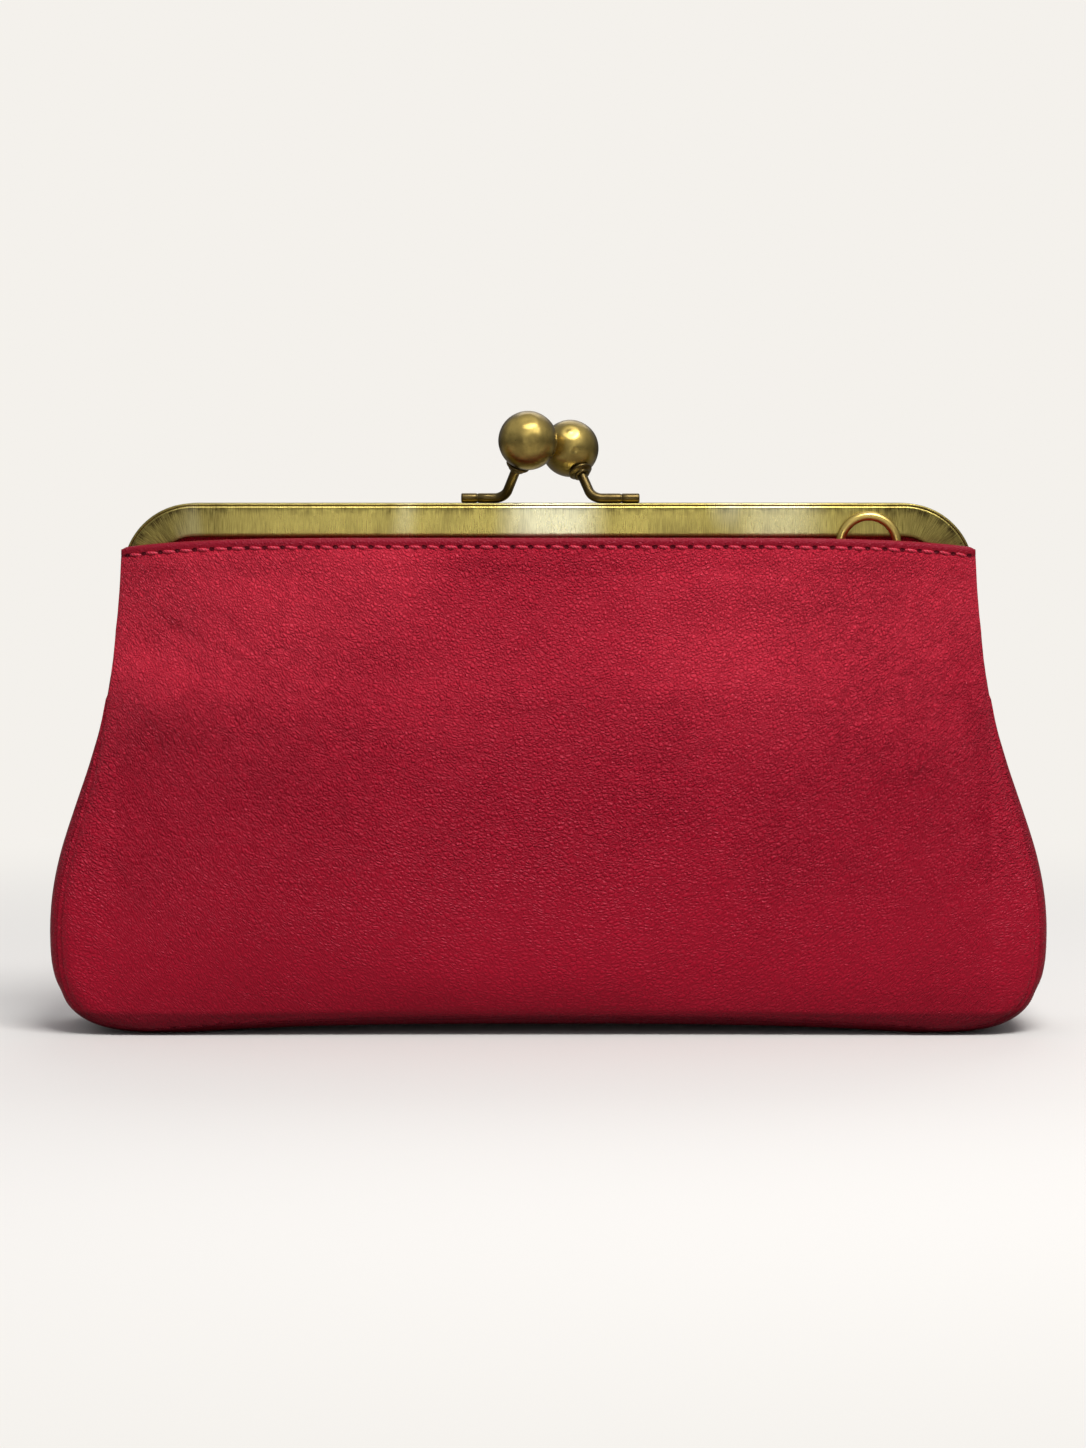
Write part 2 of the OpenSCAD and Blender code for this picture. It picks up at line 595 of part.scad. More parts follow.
// Body panels
module front_panel_upper() color(red) up_panel(26, panel_upper_low, -1, front_fold, 0, leather_t);
module back_panel_upper() color(red) up_panel(26, panel_upper_low, 1, back_fold, 0, leather_t);
module front_panel_lower() {
  color(dark_red) low_panel(26, 16, function (u) front_lower_top(u), -1,
    function (z) panel_low_edge(z), function (z) front_low_mid(z), leather_t);
}
module back_panel_lower() {
  color(red) low_panel(28, 16, function (u) back_lower_top(u), 1,
    function (z) panel_low_edge(z), function (z) back_low_mid(z), leather_t);
}

// The side strip runs down one side, under the base and up the other side
base_share = 0.36;
function strip_path(w, top_z) =
  w < base_share
  ? let (x = w / base_share * half_foot) [x, arch(x)]
  : rim_point((w - base_share) / (1 - base_share), top_z);
function strip_inward(w, top_z) =
  w < base_share ? [0, 1] : rim_inward((w - base_share) / (1 - base_share), top_z);
function swell(t) = let (c = (abs(t) - 0.7) / 0.3) c > 0 ? c * c : 0;
function strip_point(u, t, top_z, inwards, half_depth) =
  let (
    w = abs(u),
    p = strip_path(w, top_z),
    n = strip_inward(w, top_z),
    q = p + n * (inwards(w, p[1]) + inset_at(p[1]) * swell(t))
  )
  [sign(u) * q[0], t * half_depth(p[1]), q[1]];
function strip_stations() = concat(
  [for (i = [-24:-1]) i / 24], [0], [for (i = [1:24]) i / 24]
);
strip_rows = [-1, -0.92, -0.82, -0.7, -0.35, 0, 0.35, 0.7, 0.82, 0.92, 1];
module gusset() {
  depth = function (z) seam_depth(z) - ply_gap;
  color(dark_red) skin(strip_stations(), strip_rows,
    function (u, t) strip_point(u, t, gusset_top, function (w, z) leather_t, depth),
    function (u, t) strip_point(u, t, gusset_top, function (w, z) 0, depth));
}

// Base board and linings
board_z = arch_h + leather_t + ply_gap;
module base_board() {
  color(paper) translate([-half_foot + board_clear, -seam_full + board_clear, board_z])
    cube([2 * (half_foot - board_clear), 2 * (seam_full - board_clear), board_t]);
}
lining_floor = board_z + board_t + ply_gap;
lining_inset = leather_t + ply_gap;
function lining_in(w) = mix(lining_inset, lining_floor, ease((1.25 * base_share - w) / (0.25 * base_share)))
  - (w < base_share ? arch(w / base_share * half_foot) : 0);
lining_rows = [-1, -0.7, -0.35, 0, 0.35, 0.7, 1];
module gusset_lining() {
  depth = function (z) seam_depth(z) - leather_t - ply_gap;
  color(lining_red) skin(strip_stations(), lining_rows,
    function (u, t) strip_point(u, t, lining_lower_top, function (w, z) lining_in(w) + lining_t, depth),
    function (u, t) strip_point(u, t, lining_lower_top, function (w, z) lining_in(w), depth));
}
lining_edge = 2.4;
module front_lining_lower() {
  color(lining_red) low_panel(20, 16, function (u) front_lining_top(u), -1,
    function (z) panel_low_edge(z) - leather_t - ply_gap,
    function (z) front_low_mid(z) - leather_t - 1.3 * ply_gap, lining_t, lining_edge);
}
module back_lining_lower() {
  color(lining_red) low_panel(20, 16, function (u) back_lining_top(u), 1,
    function (z) panel_low_edge(z) - leather_t - ply_gap,
    function (z) back_low_mid(z) - leather_t - ply_gap, lining_t, lining_edge);
}
module front_lining_upper() {
  color(lining_red) up_panel(20, lining_upper_low, -1, front_fold, lining_seat, lining_t);
}
module back_lining_upper() {
  color(lining_red) up_panel(20, lining_upper_low, 1, back_fold, lining_seat, lining_t);
}

front_frame();
back_frame();
hinge_rivet_left();
hinge_rivet_right();
front_lock_stem();
front_lock_collar();
front_lock_ball();
back_lock_stem();
back_lock_collar();
back_lock_ball();
front_channel_cord();
back_channel_cord();
d_ring();
ring_tab();
ring_tab_stitches();
pocket_panel_upper();
pocket_panel_lower();
pocket_hem();
pocket_hem_stitches();
front_panel_upper();
front_panel_lower();
back_panel_upper();
back_panel_lower();
gusset();
base_board();
front_lining_upper();
front_lining_lower();
back_lining_upper();
back_lining_lower();
gusset_lining();
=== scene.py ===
"""Kiss lock frame purse: leather, brass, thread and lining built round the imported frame."""

import math

import bpy
import numpy as np
from bpy.props import FloatProperty, FloatVectorProperty, IntProperty, PointerProperty
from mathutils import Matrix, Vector


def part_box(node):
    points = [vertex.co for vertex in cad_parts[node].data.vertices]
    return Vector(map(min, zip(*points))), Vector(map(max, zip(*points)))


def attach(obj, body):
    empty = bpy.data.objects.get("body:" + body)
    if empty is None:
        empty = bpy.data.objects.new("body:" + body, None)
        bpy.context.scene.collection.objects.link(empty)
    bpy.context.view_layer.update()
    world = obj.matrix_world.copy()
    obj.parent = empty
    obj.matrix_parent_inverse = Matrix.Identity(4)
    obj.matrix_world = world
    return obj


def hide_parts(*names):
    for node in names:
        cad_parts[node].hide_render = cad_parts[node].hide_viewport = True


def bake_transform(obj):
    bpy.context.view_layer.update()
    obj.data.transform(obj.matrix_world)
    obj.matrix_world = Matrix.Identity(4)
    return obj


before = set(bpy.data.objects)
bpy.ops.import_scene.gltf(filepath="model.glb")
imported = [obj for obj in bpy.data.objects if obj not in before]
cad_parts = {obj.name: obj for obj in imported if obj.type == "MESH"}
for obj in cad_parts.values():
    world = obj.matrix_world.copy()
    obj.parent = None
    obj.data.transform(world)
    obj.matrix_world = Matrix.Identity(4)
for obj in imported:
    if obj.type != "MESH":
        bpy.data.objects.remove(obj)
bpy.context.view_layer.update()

bl_info = {
    "name": "Kiss lock frame purse",
    "version": (1, 0, 0),
    "blender": (4, 5, 0),
    "location": "3D View > Sidebar > Purse",
    "description": "Leather body, brass frame, kiss lock, ring and lining of a small frame purse",
    "category": "Add Mesh",
}

MM = 0.001


# Stations of the purse in millimetres, read from the frame where it has them
def high(node):
    return np.array(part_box(node)[1]) / MM


# The frame's channel: its outline from the front, and its section
HALF_FRAME = float(high("front_frame")[0])
FRAME_TOP = float(high("front_frame")[2])
HINGE_Z = 80.0
LEG_END_Z = HINGE_Z + 6.0
RAIL_H = 7.0
RAIL_IN = 0.3
RAIL_OUT = 5.3
RAIL_WALL = 0.8
RAIL_LOW = FRAME_TOP - RAIL_H
CORNER_R = 14.5
CORNER_X = HALF_FRAME - CORNER_R
CORNER_Z = FRAME_TOP - CORNER_R
CHANNEL_EDGE = 1.2  # from the frame's outer edge to the leather inside it

# The body's outline from the front, and its depth
HALF_BELLY = 101.6
HALF_FOOT = 80.0
BELLY_Z = 20.5
ARCH_H = 1.8
FOOT_RUN = 6.0  # flat length at each end of the base, beside its arch
HALF_D = 18.5
THROAT = 4.7  # depth of the seams at the hinges
SEAM_FULL = 13.7  # and low on the body
WIDEST_Z = 22.0
SEAM_INSET = 1.2  # how far inside the outline a panel's edge lies
SIDE_SHOW = 1.15  # share of that by which the edge lies further in at the upright sides
STRIP_TOP = 75.0
LINING_TOP = 74.4

# Thicknesses and gaps
RING_WIRE = 1.7
LEATHER = 1.1
BOARD = 1.2
PLY_GAP = 0.3
HEM_PLY = 0.75  # pared leather turned over inside the hem
HEM_GLUE = 0.05
LINING_BEHIND = 1.42  # from the leather's outer face to the cloth

# How deep each panel lies where it leaves the frame, and the pocket's hem
PANEL_FACE = 4.3
FRONT_FOLD = 7.3
BACK_FOLD = 7.9
POCKET_SIDE = 7.5
POCKET_TOP = 12.8
POCKET_FOLD = 13.8
FOLD_STEP = 1.4  # how much further out the part on the body lies
CREASE_Z = 70.0
FOLD_LOW, FOLD_HIGH = 69.0, 87.0  # heights between which the two parts pass into each other
HEM_MID_Z = FRAME_TOP - 6.9
HEM_DROOP = 2.1
HEM_END_Z = HEM_MID_Z - HEM_DROOP
STITCH_DOWN = 1.85
LEVEL_ROWS_Z = HEM_END_Z - 13.0  # above this a body panel's rows are level


# Arithmetic
def clamp(v, lo=0.0, hi=1.0):
    return np.clip(v, lo, hi)


def ease(t):
    c = np.clip(t, 0.0, 1.0)
    return c * c * (3 - 2 * c)


def mix(a, b, t):
    return a + (b - a) * t


def bezier(p, t):
    p, t = np.asarray(p, float), np.asarray(t, float)[:, None]
    return (1 - t) ** 3 * p[0] + 3 * t * (1 - t) ** 2 * p[1] + 3 * t * t * (1 - t) * p[2] + t**3 * p[3]


def bell(d, width):
    return np.exp(-((d / width) ** 2))


def unit(vectors):
    return vectors / np.linalg.norm(vectors, axis=-1, keepdims=True)


def lengths_along(path):
    """Length from a path's first point to each of its points."""
    return np.concatenate([[0], np.cumsum(np.linalg.norm(np.diff(path, axis=0), axis=1))])


def tint(colour, scale, add=0.0):
    """A colour made darker or lighter, no channel above 1."""
    parts = zip(colour, np.broadcast_to(scale, 3), np.broadcast_to(add, 3))
    return tuple(float(min(1.0, c * k + a)) for c, k, a in parts)


def waves(seed, x, z, count, shortest, longest, height):
    """Smooth uneven ground made of a few dozen seeded sine waves, in millimetres."""
    rng = np.random.default_rng(seed)
    total = np.zeros(np.broadcast(x, z).shape)
    for _ in range(count):
        turn, length = rng.uniform(0, math.pi), rng.uniform(shortest, longest)
        phase, size = rng.uniform(0, 2 * math.pi), rng.uniform(0.5, 1.0)
        total += size * np.sin(2 * math.pi * (x * math.cos(turn) + z * math.sin(turn)) / length + phase)
    return total * height / math.sqrt(count)


# Outline of the body seen from the front, right-hand side, from the foot up
def outline():
    t = np.linspace(0, 1, 200)
    corner = bezier([[HALF_FOOT, 0], [HALF_BELLY - 3.6, 0], [HALF_BELLY, 6], [HALF_BELLY, BELLY_Z]], t)
    side = bezier(
        [
            [HALF_BELLY, BELLY_Z], [HALF_BELLY, BELLY_Z + 22], [HALF_FRAME + 1.4, HINGE_Z - 24],
            [HALF_FRAME, HEM_END_Z]
        ],
        t
    )
    points = np.vstack([corner, side[1:]])
    d = unit(np.gradient(points, axis=0))
    return points[:, 0], points[:, 1], -d[:, 1], d[:, 0], lengths_along(points)


RIM_X, RIM_Z, RIM_NX, RIM_NZ, RIM_RUN = outline()


def rim(run):
    """x, z and inward direction of the outline at a length from the foot."""
    return tuple(np.interp(run, RIM_RUN, a) for a in (RIM_X, RIM_Z, RIM_NX, RIM_NZ))


def run_at(z):
    return np.interp(z, RIM_Z, RIM_RUN)


def inset_at(z):
    return SEAM_INSET * (1 - clamp((z - 45) / (HINGE_Z - 43)) ** 2)


def arch(x):
    return np.where(
        np.abs(x) < HALF_FOOT - FOOT_RUN, ARCH_H * (1 - (np.abs(x) / (HALF_FOOT - FOOT_RUN)) ** 3), 0.0
    )


# Depth of the seams and of each panel's middle at a height
def seam_depth(z):
    return THROAT + (SEAM_FULL - THROAT) * np.sin(math.pi / 2 * clamp((HINGE_Z + 1 - z) / (HINGE_Z - 18)))


def full_depth(z, fold, power):
    low = clamp((WIDEST_Z - z) / (WIDEST_Z - 2.5)) ** 2.2
    return (
        HALF_D - (HALF_D - fold) * clamp((z - WIDEST_Z) / (HINGE_Z - WIDEST_Z), 0, 1.1) ** power - 2.1 * low
    )


def fullness(u, z):
    return 1 - np.abs(u) ** mix(3, 6, clamp((z - 30) / 50))


def hem_z(x):
    return HEM_MID_Z - HEM_DROOP * clamp(np.abs(x) / HALF_FRAME) ** 6


def up_half_width(z):
    round_part = CORNER_X + np.sqrt(
        np.maximum(0, (CORNER_R - CHANNEL_EDGE) ** 2 - np.maximum(0, z - CORNER_Z) ** 2)
    )
    leg = mix(HALF_FRAME - 3, HALF_FRAME - CHANNEL_EDGE, ease((z - LEG_END_Z + 0.6) / 1.2))
    return np.where(z < CORNER_Z, leg, round_part)


def channel_far(x, z):
    """Distance of a point from the channel's inner edge, seen from the front."""
    ax = np.abs(x)
    corner = CORNER_R - RAIL_H - np.hypot(np.maximum(0, ax - CORNER_X), np.maximum(0, z - CORNER_Z))
    return np.where(
        (ax > CORNER_X) & (z > CORNER_Z), corner, np.minimum(HALF_FRAME - RAIL_H - ax, RAIL_LOW - z)
    )


def up_bow(x, z, fold):
    """How far a panel bows out between the frame and the fold line."""
    return (
        (fold - PANEL_FACE)
        * (1 - clamp(np.abs(x) / (HALF_FRAME - RAIL_H - 1.2)) ** 4)
        * clamp((RAIL_LOW - z) / (RAIL_LOW - HINGE_Z), 0, 1.1) ** 0.8
        * clamp((channel_far(x, z) - 1) / 2)
    )


# Meshes from grids of points
def new_object(name, mesh):
    obj = bpy.data.objects.new(name, mesh)
    bpy.context.scene.collection.objects.link(obj)
    return obj


def grid_faces(rows, cols, wrap_rows=False, wrap_cols=False):
    r = np.arange(rows if wrap_rows else rows - 1)[:, None]
    c = np.arange(cols if wrap_cols else cols - 1)[None, :]
    r2, c2 = (r + 1) % rows, (c + 1) % cols
    quads = np.stack([r * cols + c, r * cols + c2, r2 * cols + c2, r2 * cols + c], -1).reshape(-1, 4)
    corners = np.stack([np.broadcast_to(a, (r.size, c.size)) for a in (r, c)], -1).reshape(-1, 2)
    return quads, corners


def cell_uvs(corners, place):
    """The pattern position of each cell's four corners, where place(row, column) gives one."""
    return [[place(r + j, c + i) for i, j in ((0, 0), (1, 0), (1, 1), (0, 1))] for r, c in corners]


def side_uvs(points, faces):
    """Pattern positions of a part that is seen from the side: its height and its depth."""
    return [[[float(points[k, 2]), float(points[k, 1])] for k in f] for f in faces]


def flipped(faces, uvs):
    return [f[::-1] for f in faces], [u[::-1] for u in uvs]


def make_mesh(name, points, faces, uvs=None, flip=False, attributes=None):
    """A mesh object from points in millimetres, its faces, corner positions and values for each point."""
    mesh = bpy.data.meshes.new(name)
    if flip:
        faces = [f[::-1] for f in faces]
    mesh.from_pydata((np.asarray(points) * MM).tolist(), [], [list(map(int, f)) for f in faces])
    if uvs is not None:
        layer = mesh.uv_layers.new(name="Surface")
        flat = np.concatenate([np.asarray(u, np.float32).reshape(-1, 2) for u in uvs])
        layer.data.foreach_set("uv", flat.ravel())
    for key, value in (attributes or {}).items():
        attribute = mesh.attributes.new(key, "FLOAT_VECTOR", "POINT")
        attribute.data.foreach_set("vector", np.asarray(value, np.float32).ravel())
    mesh.polygons.foreach_set("use_smooth", np.full(len(mesh.polygons), True))
    mesh.update()
    mesh.validate()
    return new_object(name, mesh)


def shell_object(name, outer, inner, side, materials, inner_red=None):
    """A leather or cloth panel: an outer and an inner grid, joined all round the edge.

    Rows run up the panel and columns across it. side is -1 where it faces the front."""
    rows, cols = outer.shape[:2]
    loop = np.concatenate([outer, inner[::-1]])
    quads, corners = grid_faces(2 * rows, cols, wrap_rows=True)
    ends = []
    for k in range(rows - 1):
        a, b, c, d = k, k + 1, 2 * rows - 2 - k, 2 * rows - 1 - k
        ends.append([a * cols, b * cols, c * cols, d * cols])
        ends.append([d * cols + cols - 1, c * cols + cols - 1, b * cols + cols - 1, a * cols + cols - 1])
    faces = np.concatenate([quads, np.array(ends)])
    points = loop.reshape(-1, 3)
    obj = make_mesh(name, points, faces, flip=side > 0, attributes={"rest_at": points * MM})
    for finish in materials:
        obj.data.materials.append(finish)
    if len(materials) > 1:
        index = np.zeros(len(faces), np.int32)
        inside = (corners[:, 0] >= rows) & (corners[:, 0] < 2 * rows - 1)
        if inner_red is not None:
            inside &= corners[:, 0] >= rows + inner_red
        index[: len(quads)][inside] = 1
        obj.data.polygons.foreach_set("material_index", index)
    return obj


def turned_mesh(profile, steps, origin, axis, across):
    """Points, faces and corner positions of a profile (radius, height) turned round an axis."""
    axis, across = np.array(axis, float), np.array(across, float)
    other = np.cross(axis, across)
    angle = np.arange(steps) * 2 * math.pi / steps
    profile = np.asarray(profile, float)
    ring = np.cos(angle)[:, None] * across + np.sin(angle)[:, None] * other
    points = origin + profile[:, 1][:, None, None] * axis + profile[:, 0][:, None, None] * ring[None]
    quads, corners = grid_faces(len(profile), steps, wrap_cols=True)
    run = lengths_along(profile)
    uvs = cell_uvs(corners, lambda r, c: [c / steps, run[r]])
    flat = points.reshape(-1, 3)
    caps = [list(range(steps))[::-1], [(len(profile) - 1) * steps + i for i in range(steps)]]
    cap_uvs = [[[0.0, 0.0]] * steps, [[0.0, float(run[-1])]] * steps]
    return flat, [list(q) for q in quads] + caps, uvs + cap_uvs


def swept_mesh(path, radius, steps, up):
    """A round wire along a path, with a radius for each point of the path."""
    path = np.asarray(path, float)
    ahead = unit(np.gradient(path, axis=0))
    side = unit(np.cross(ahead, np.asarray(up, float)))
    over = np.cross(side, ahead)
    angle = np.arange(steps) * 2 * math.pi / steps
    ring = np.cos(angle)[None, :, None] * side[:, None] + np.sin(angle)[None, :, None] * over[:, None]
    points = path[:, None] + np.asarray(radius, float)[:, None, None] * ring
    quads, corners = grid_faces(len(path), steps, wrap_cols=True)
    run = lengths_along(path)
    faces = [list(q) for q in quads] + [
        list(range(steps))[::-1], [(len(path) - 1) * steps + i for i in range(steps)]
    ]
    uvs = cell_uvs(corners, lambda r, c: [run[r], c / steps * 6.0])
    uvs += [[[0.0, 0.0]] * steps, [[float(run[-1]), 0.0]] * steps]
    return points.reshape(-1, 3), *flipped(faces, uvs)


def joined(parts):
    """Several (points, faces, uvs) as one."""
    points, faces, uvs, count = [], [], [], 0
    for p, f, u in parts:
        points.append(np.asarray(p))
        faces += [[i + count for i in face] for face in f]
        uvs += list(u)
        count += len(p)
    return np.concatenate(points), faces, uvs


# Node trees
class Nodes:
    """A node tree that is filled node by node."""

    prefix = ""

    def __init__(self, tree):
        self.tree, self.nodes, self.links = tree, tree.nodes, tree.links

    def add(self, kind, values=None, **settings):
        node = self.nodes.new(self.prefix + kind)
        for key, value in settings.items():
            setattr(node, key, value)
        for key, value in (values or {}).items():
            self.put(node.inputs[key], value)
        return node

    def get(self, kind, values=None, **settings):
        """The first output of a new node."""
        return self.add(kind, values, **settings).outputs[0]

    def put(self, socket, value):
        if isinstance(value, bpy.types.NodeSocket):
            self.links.new(value, socket)
        elif socket.type == "RGBA" and len(value) == 3:
            socket.default_value = (*value, 1.0)
        else:
            socket.default_value = value


class Shader(Nodes):
    """The nodes of a new material, or of a new world."""

    prefix = "ShaderNode"

    def __init__(self, name, store="materials", output="OutputMaterial"):
        store = getattr(bpy.data, store)
        if store.get(name):
            store.remove(store[name])
        self.owner = store.new(name)
        self.owner.use_nodes = True
        super().__init__(self.owner.node_tree)
        self.nodes.clear()
        self.out = self.add(output)

    def rest(self):
        """Where the point lay before anything moved, in metres."""
        return self.add("Attribute", attribute_name="rest_at").outputs["Vector"]

    def place(self):
        return self.add("TexCoord").outputs["Object"]

    def pattern(self):
        return self.get("UVMap", uv_map="Surface")

    def parts(self, vector):
        return self.add("SeparateXYZ", {0: vector}).outputs

    def math(self, operation, a, b=0.0, c=0.0, clip=False):
        return self.get("Math", {0: a, 1: b, 2: c}, operation=operation, use_clamp=clip)

    def times(self, a, b, clip=False):
        return self.math("MULTIPLY", a, b, clip=clip)

    def mad(self, a, b, c):
        """a times b, plus c."""
        return self.math("MULTIPLY_ADD", a, b, c)

    def minus(self, a, b):
        return self.math("SUBTRACT", a, b)

    def abs(self, a):
        return self.math("ABSOLUTE", a)

    def vector(self, operation, a, values=None):
        return self.get("VectorMath", {0: a, **(values or {})}, operation=operation)

    def ramp(self, value, low, high, to_low=0.0, to_high=1.0, smooth=True):
        kind = "SMOOTHSTEP" if smooth else "LINEAR"
        return self.get(
            "MapRange", {0: value, 1: low, 2: high, 3: to_low, 4: to_high}, interpolation_type=kind
        )

    def blend(self, share, a, b):
        return self.add("Mix", {0: share, 6: a, 7: b}, data_type="RGBA").outputs[2]

    def noise(self, where, scale, detail=2.0, rough=0.5, warp=0.0):
        values = {"Vector": where, "Scale": scale, "Detail": detail, "Roughness": rough, "Distortion": warp}
        return self.get("TexNoise", values)

    def cells(self, where, scale, **values):
        """Distance to the edge of scattered cells."""
        values = {"Vector": where, "Scale": scale, **values}
        return self.get("TexVoronoi", values, feature="DISTANCE_TO_EDGE")

    def bands(self, where, scale, warp, direction="X", **values):
        values = {"Vector": where, "Scale": scale, "Distortion": warp, **values}
        return self.add("TexWave", values, wave_type="BANDS", bands_direction=direction).outputs["Fac"]

    def mapped(self, where, scale=(1, 1, 1), turn=(0, 0, 0), shift=(0, 0, 0)):
        return self.get("Mapping", {"Vector": where, "Location": shift, "Rotation": turn, "Scale": scale})

    def leant(self, where, degrees):
        return self.mapped(where, turn=(0, math.radians(degrees), 0))

    def mixed(self, share, a, b):
        """Two surfaces in shares."""
        return self.add("MixShader", {0: share, 1: a.outputs[0], 2: b.outputs[0]})

    def surface(self, colour, rough, strength, height, more):
        """The material with one principled surface, its bumps in millimetres."""
        bump = self.get("Bump", {"Strength": strength, "Distance": MM, "Height": height})
        values = {"Base Color": colour, "Roughness": rough, "Normal": bump, **more}
        return self.finish(self.add("BsdfPrincipled", values))

    def finish(self, surface):
        self.links.new(surface.outputs[0], self.out.inputs[0])
        return self.owner


def leather_material(name, colour, grain, creases, holes=False):
    """Fine pebbled calf leather with slanting creases that follow the body's sides."""
    s = Shader(name)
    rest = s.rest()
    x, _, z = s.parts(rest)
    drift = s.add("TexNoise", {"Vector": rest, "Scale": 260.0, "Detail": 2.0}).outputs["Color"]
    drift = s.vector("SUBTRACT", drift, {1: (0.5, 0.5, 0.5)})
    where = s.vector("ADD", rest, {1: s.vector("SCALE", drift, {"Scale": 0.0016})})
    # The creases lean down to the right on the left-hand side and up to the right on the other
    side = s.ramp(x, -0.088, 0.09, smooth=False)
    shares = s.get("CombineXYZ", {0: side, 1: side, 2: side})
    ways = {1: shares, 4: s.leant(where, -36), 5: s.leant(where, 30)}
    lean = s.add("Mix", ways, data_type="VECTOR", factor_mode="NON_UNIFORM").outputs[1]
    patches = s.noise(s.mapped(rest, (1, 1, 1.3)), 38.0, 3.0, 0.55)
    high_up = s.ramp(z, 0.012, 0.062)
    off_middle = s.ramp(s.abs(x), 0.012, 0.07)
    cells_at = s.mapped(lean, (0.66, 1.0, 1.12))
    cells = s.cells(cells_at, 1380.0, Randomness=0.95)
    pebbles = s.ramp(cells, 0.0, 0.36)
    pebbles = s.mad(s.ramp(s.cells(cells_at, 2300.0), 0.0, 0.3), 0.35, pebbles)
    soft = s.noise(where, 1700.0, 2.0, 0.6)
    fine_at = s.mapped(lean, (200, 320, 600))
    ridged = s.abs(s.minus(s.noise(fine_at, 1.0, 3.0, 0.55, 0.4), 0.5))
    fine = s.ramp(ridged, 0.0, 0.075)
    broad_at = s.mapped(lean, (64, 130, 210), shift=(3.1, 0, 1.7))
    ridged = s.abs(s.minus(s.noise(broad_at, 1.0, 3.0, 0.5, 0.3), 0.5))
    broad = s.ramp(ridged, 0.0, 0.05)
    crease_here = s.times(s.ramp(patches, 0.34, 0.6, 0.45, 1.0), s.mad(off_middle, 0.5, 0.5))
    crease_here = s.times(crease_here, s.mad(high_up, 0.7, 0.3))
    # Finest creases bunch up beside the hinges
    bunch = s.times(s.ramp(s.abs(x), 0.04, 0.07), s.ramp(z, 0.044, 0.062))
    crease_here = s.mad(bunch, s.ramp(z, 0.096, 0.08, 0.0, 0.25), crease_here)
    grain_here = s.times(s.ramp(z, 0.002, 0.06, 0.3, 1.0), s.ramp(patches, 0.3, 0.7, 0.75, 1.2))
    if holes:
        pattern = s.pattern()
        u, v, _ = s.parts(pattern)
        # The hem is pressed smooth
        grain_here = s.times(grain_here, s.ramp(v, -0.2, 0.5, 1.0, 0.3))
        crease_here = s.times(crease_here, s.ramp(v, -0.2, 0.5, 1.0, 0.15))
    height = s.times(s.times(pebbles, 0.23 * grain), grain_here)
    height = s.mad(soft, 0.035 * grain, height)
    height = s.mad(s.times(fine, crease_here), 0.145 * creases, height)
    height = s.mad(s.times(broad, crease_here), 0.12 * creases, height)
    valleys = s.minus(1.0, s.ramp(cells, 0.0, 0.24))
    crease_shade_mask = s.times(s.minus(1.0, fine), crease_here)
    tone = s.noise(rest, 24.0, 3.0, 0.5)
    base = s.blend(s.ramp(tone, 0.3, 0.7), tint(colour, 0.95), tint(colour, 1.05))
    # Painted sheen: the upper part is made paler, as if lit from above
    pale = s.times(s.ramp(z, 0.045, 0.09), s.ramp(s.noise(rest, 15.0, 2.0), 0.3, 0.62, 0.35, 1.0))
    base = s.blend(pale, base, tint(colour, (1.72, 1.7, 1.5), (0.0, 0.021, 0.024)))
    # Painted shade: darker towards the base, and a dark band along the groove of the bottom seam
    base = s.blend(s.ramp(z, 0.001, 0.014, 0.5, 0.0), base, tint(colour, 0.62))
    base = s.blend(s.ramp(z, 0.0042, 0.0054, 0.82, 0.0), base, tint(colour, 0.24))
    # Painted light on the grain: raised points are lightened as a painted highlight, valleys and creases
    # darkened as painted shade
    dark = tint(colour, 0.55)
    light = tint(colour, 1.4, 0.004)
    base = s.blend(s.ramp(soft, 0.5, 0.72, 0.0, 0.08), base, light)
    base = s.blend(s.times(valleys, 0.42), base, dark)
    base = s.blend(s.times(crease_shade_mask, 0.22), base, dark)
    if holes:
        along = s.abs(s.minus(s.math("FRACT", u), 0.5))
        # Each hole lies between two stitches, at the middle of the stitch line
        along_hole = s.math("POWER", s.math("DIVIDE", s.minus(0.5, along), 0.15), 2.0)
        near = s.math("ADD", along_hole, s.math("POWER", s.math("DIVIDE", v, 0.42), 2.0))
        hole = s.ramp(near, 0.5, 1.25, 1.0, 0.0)
        base = s.blend(s.ramp(v, 0.0, 0.9), base, tint(colour, 0.6))
        # Painted shade along the groove of the stitch line and in the holes between the stitches
        line = s.ramp(s.abs(v), 0.1, 0.55, 1.0, 0.0)
        base = s.blend(s.times(line, 0.6), base, dark)
        base = s.blend(s.times(hole, 0.85), base, tint(colour, 0.12))
        height = s.mad(hole, -0.35, height)
    rough = s.mad(s.noise(rest, 300.0, 3.0, 0.6), 0.12, 0.33)
    rough = s.mad(valleys, 0.15, rough)
    gloss = {"Specular IOR Level": 0.47, "Specular Tint": (1.0, 0.34, 0.44)}
    return s.surface(base, rough, 1.0, height, gloss)


def suede_material(name, colour):
    """The flesh side of the leather: matt, with a short nap."""
    s = Shader(name)
    rest = s.rest()
    nap = s.noise(rest, 2600.0, 3.0, 0.7)
    cloud = s.noise(rest, 90.0, 4.0, 0.6)
    base = s.blend(s.ramp(cloud, 0.3, 0.7), tint(colour, 0.8), colour)
    base = s.blend(s.times(nap, 0.3), base, tint(colour, 0.5))
    return s.surface(base, 0.95, 0.8, s.times(nap, 0.12), {"Specular IOR Level": 0.2})


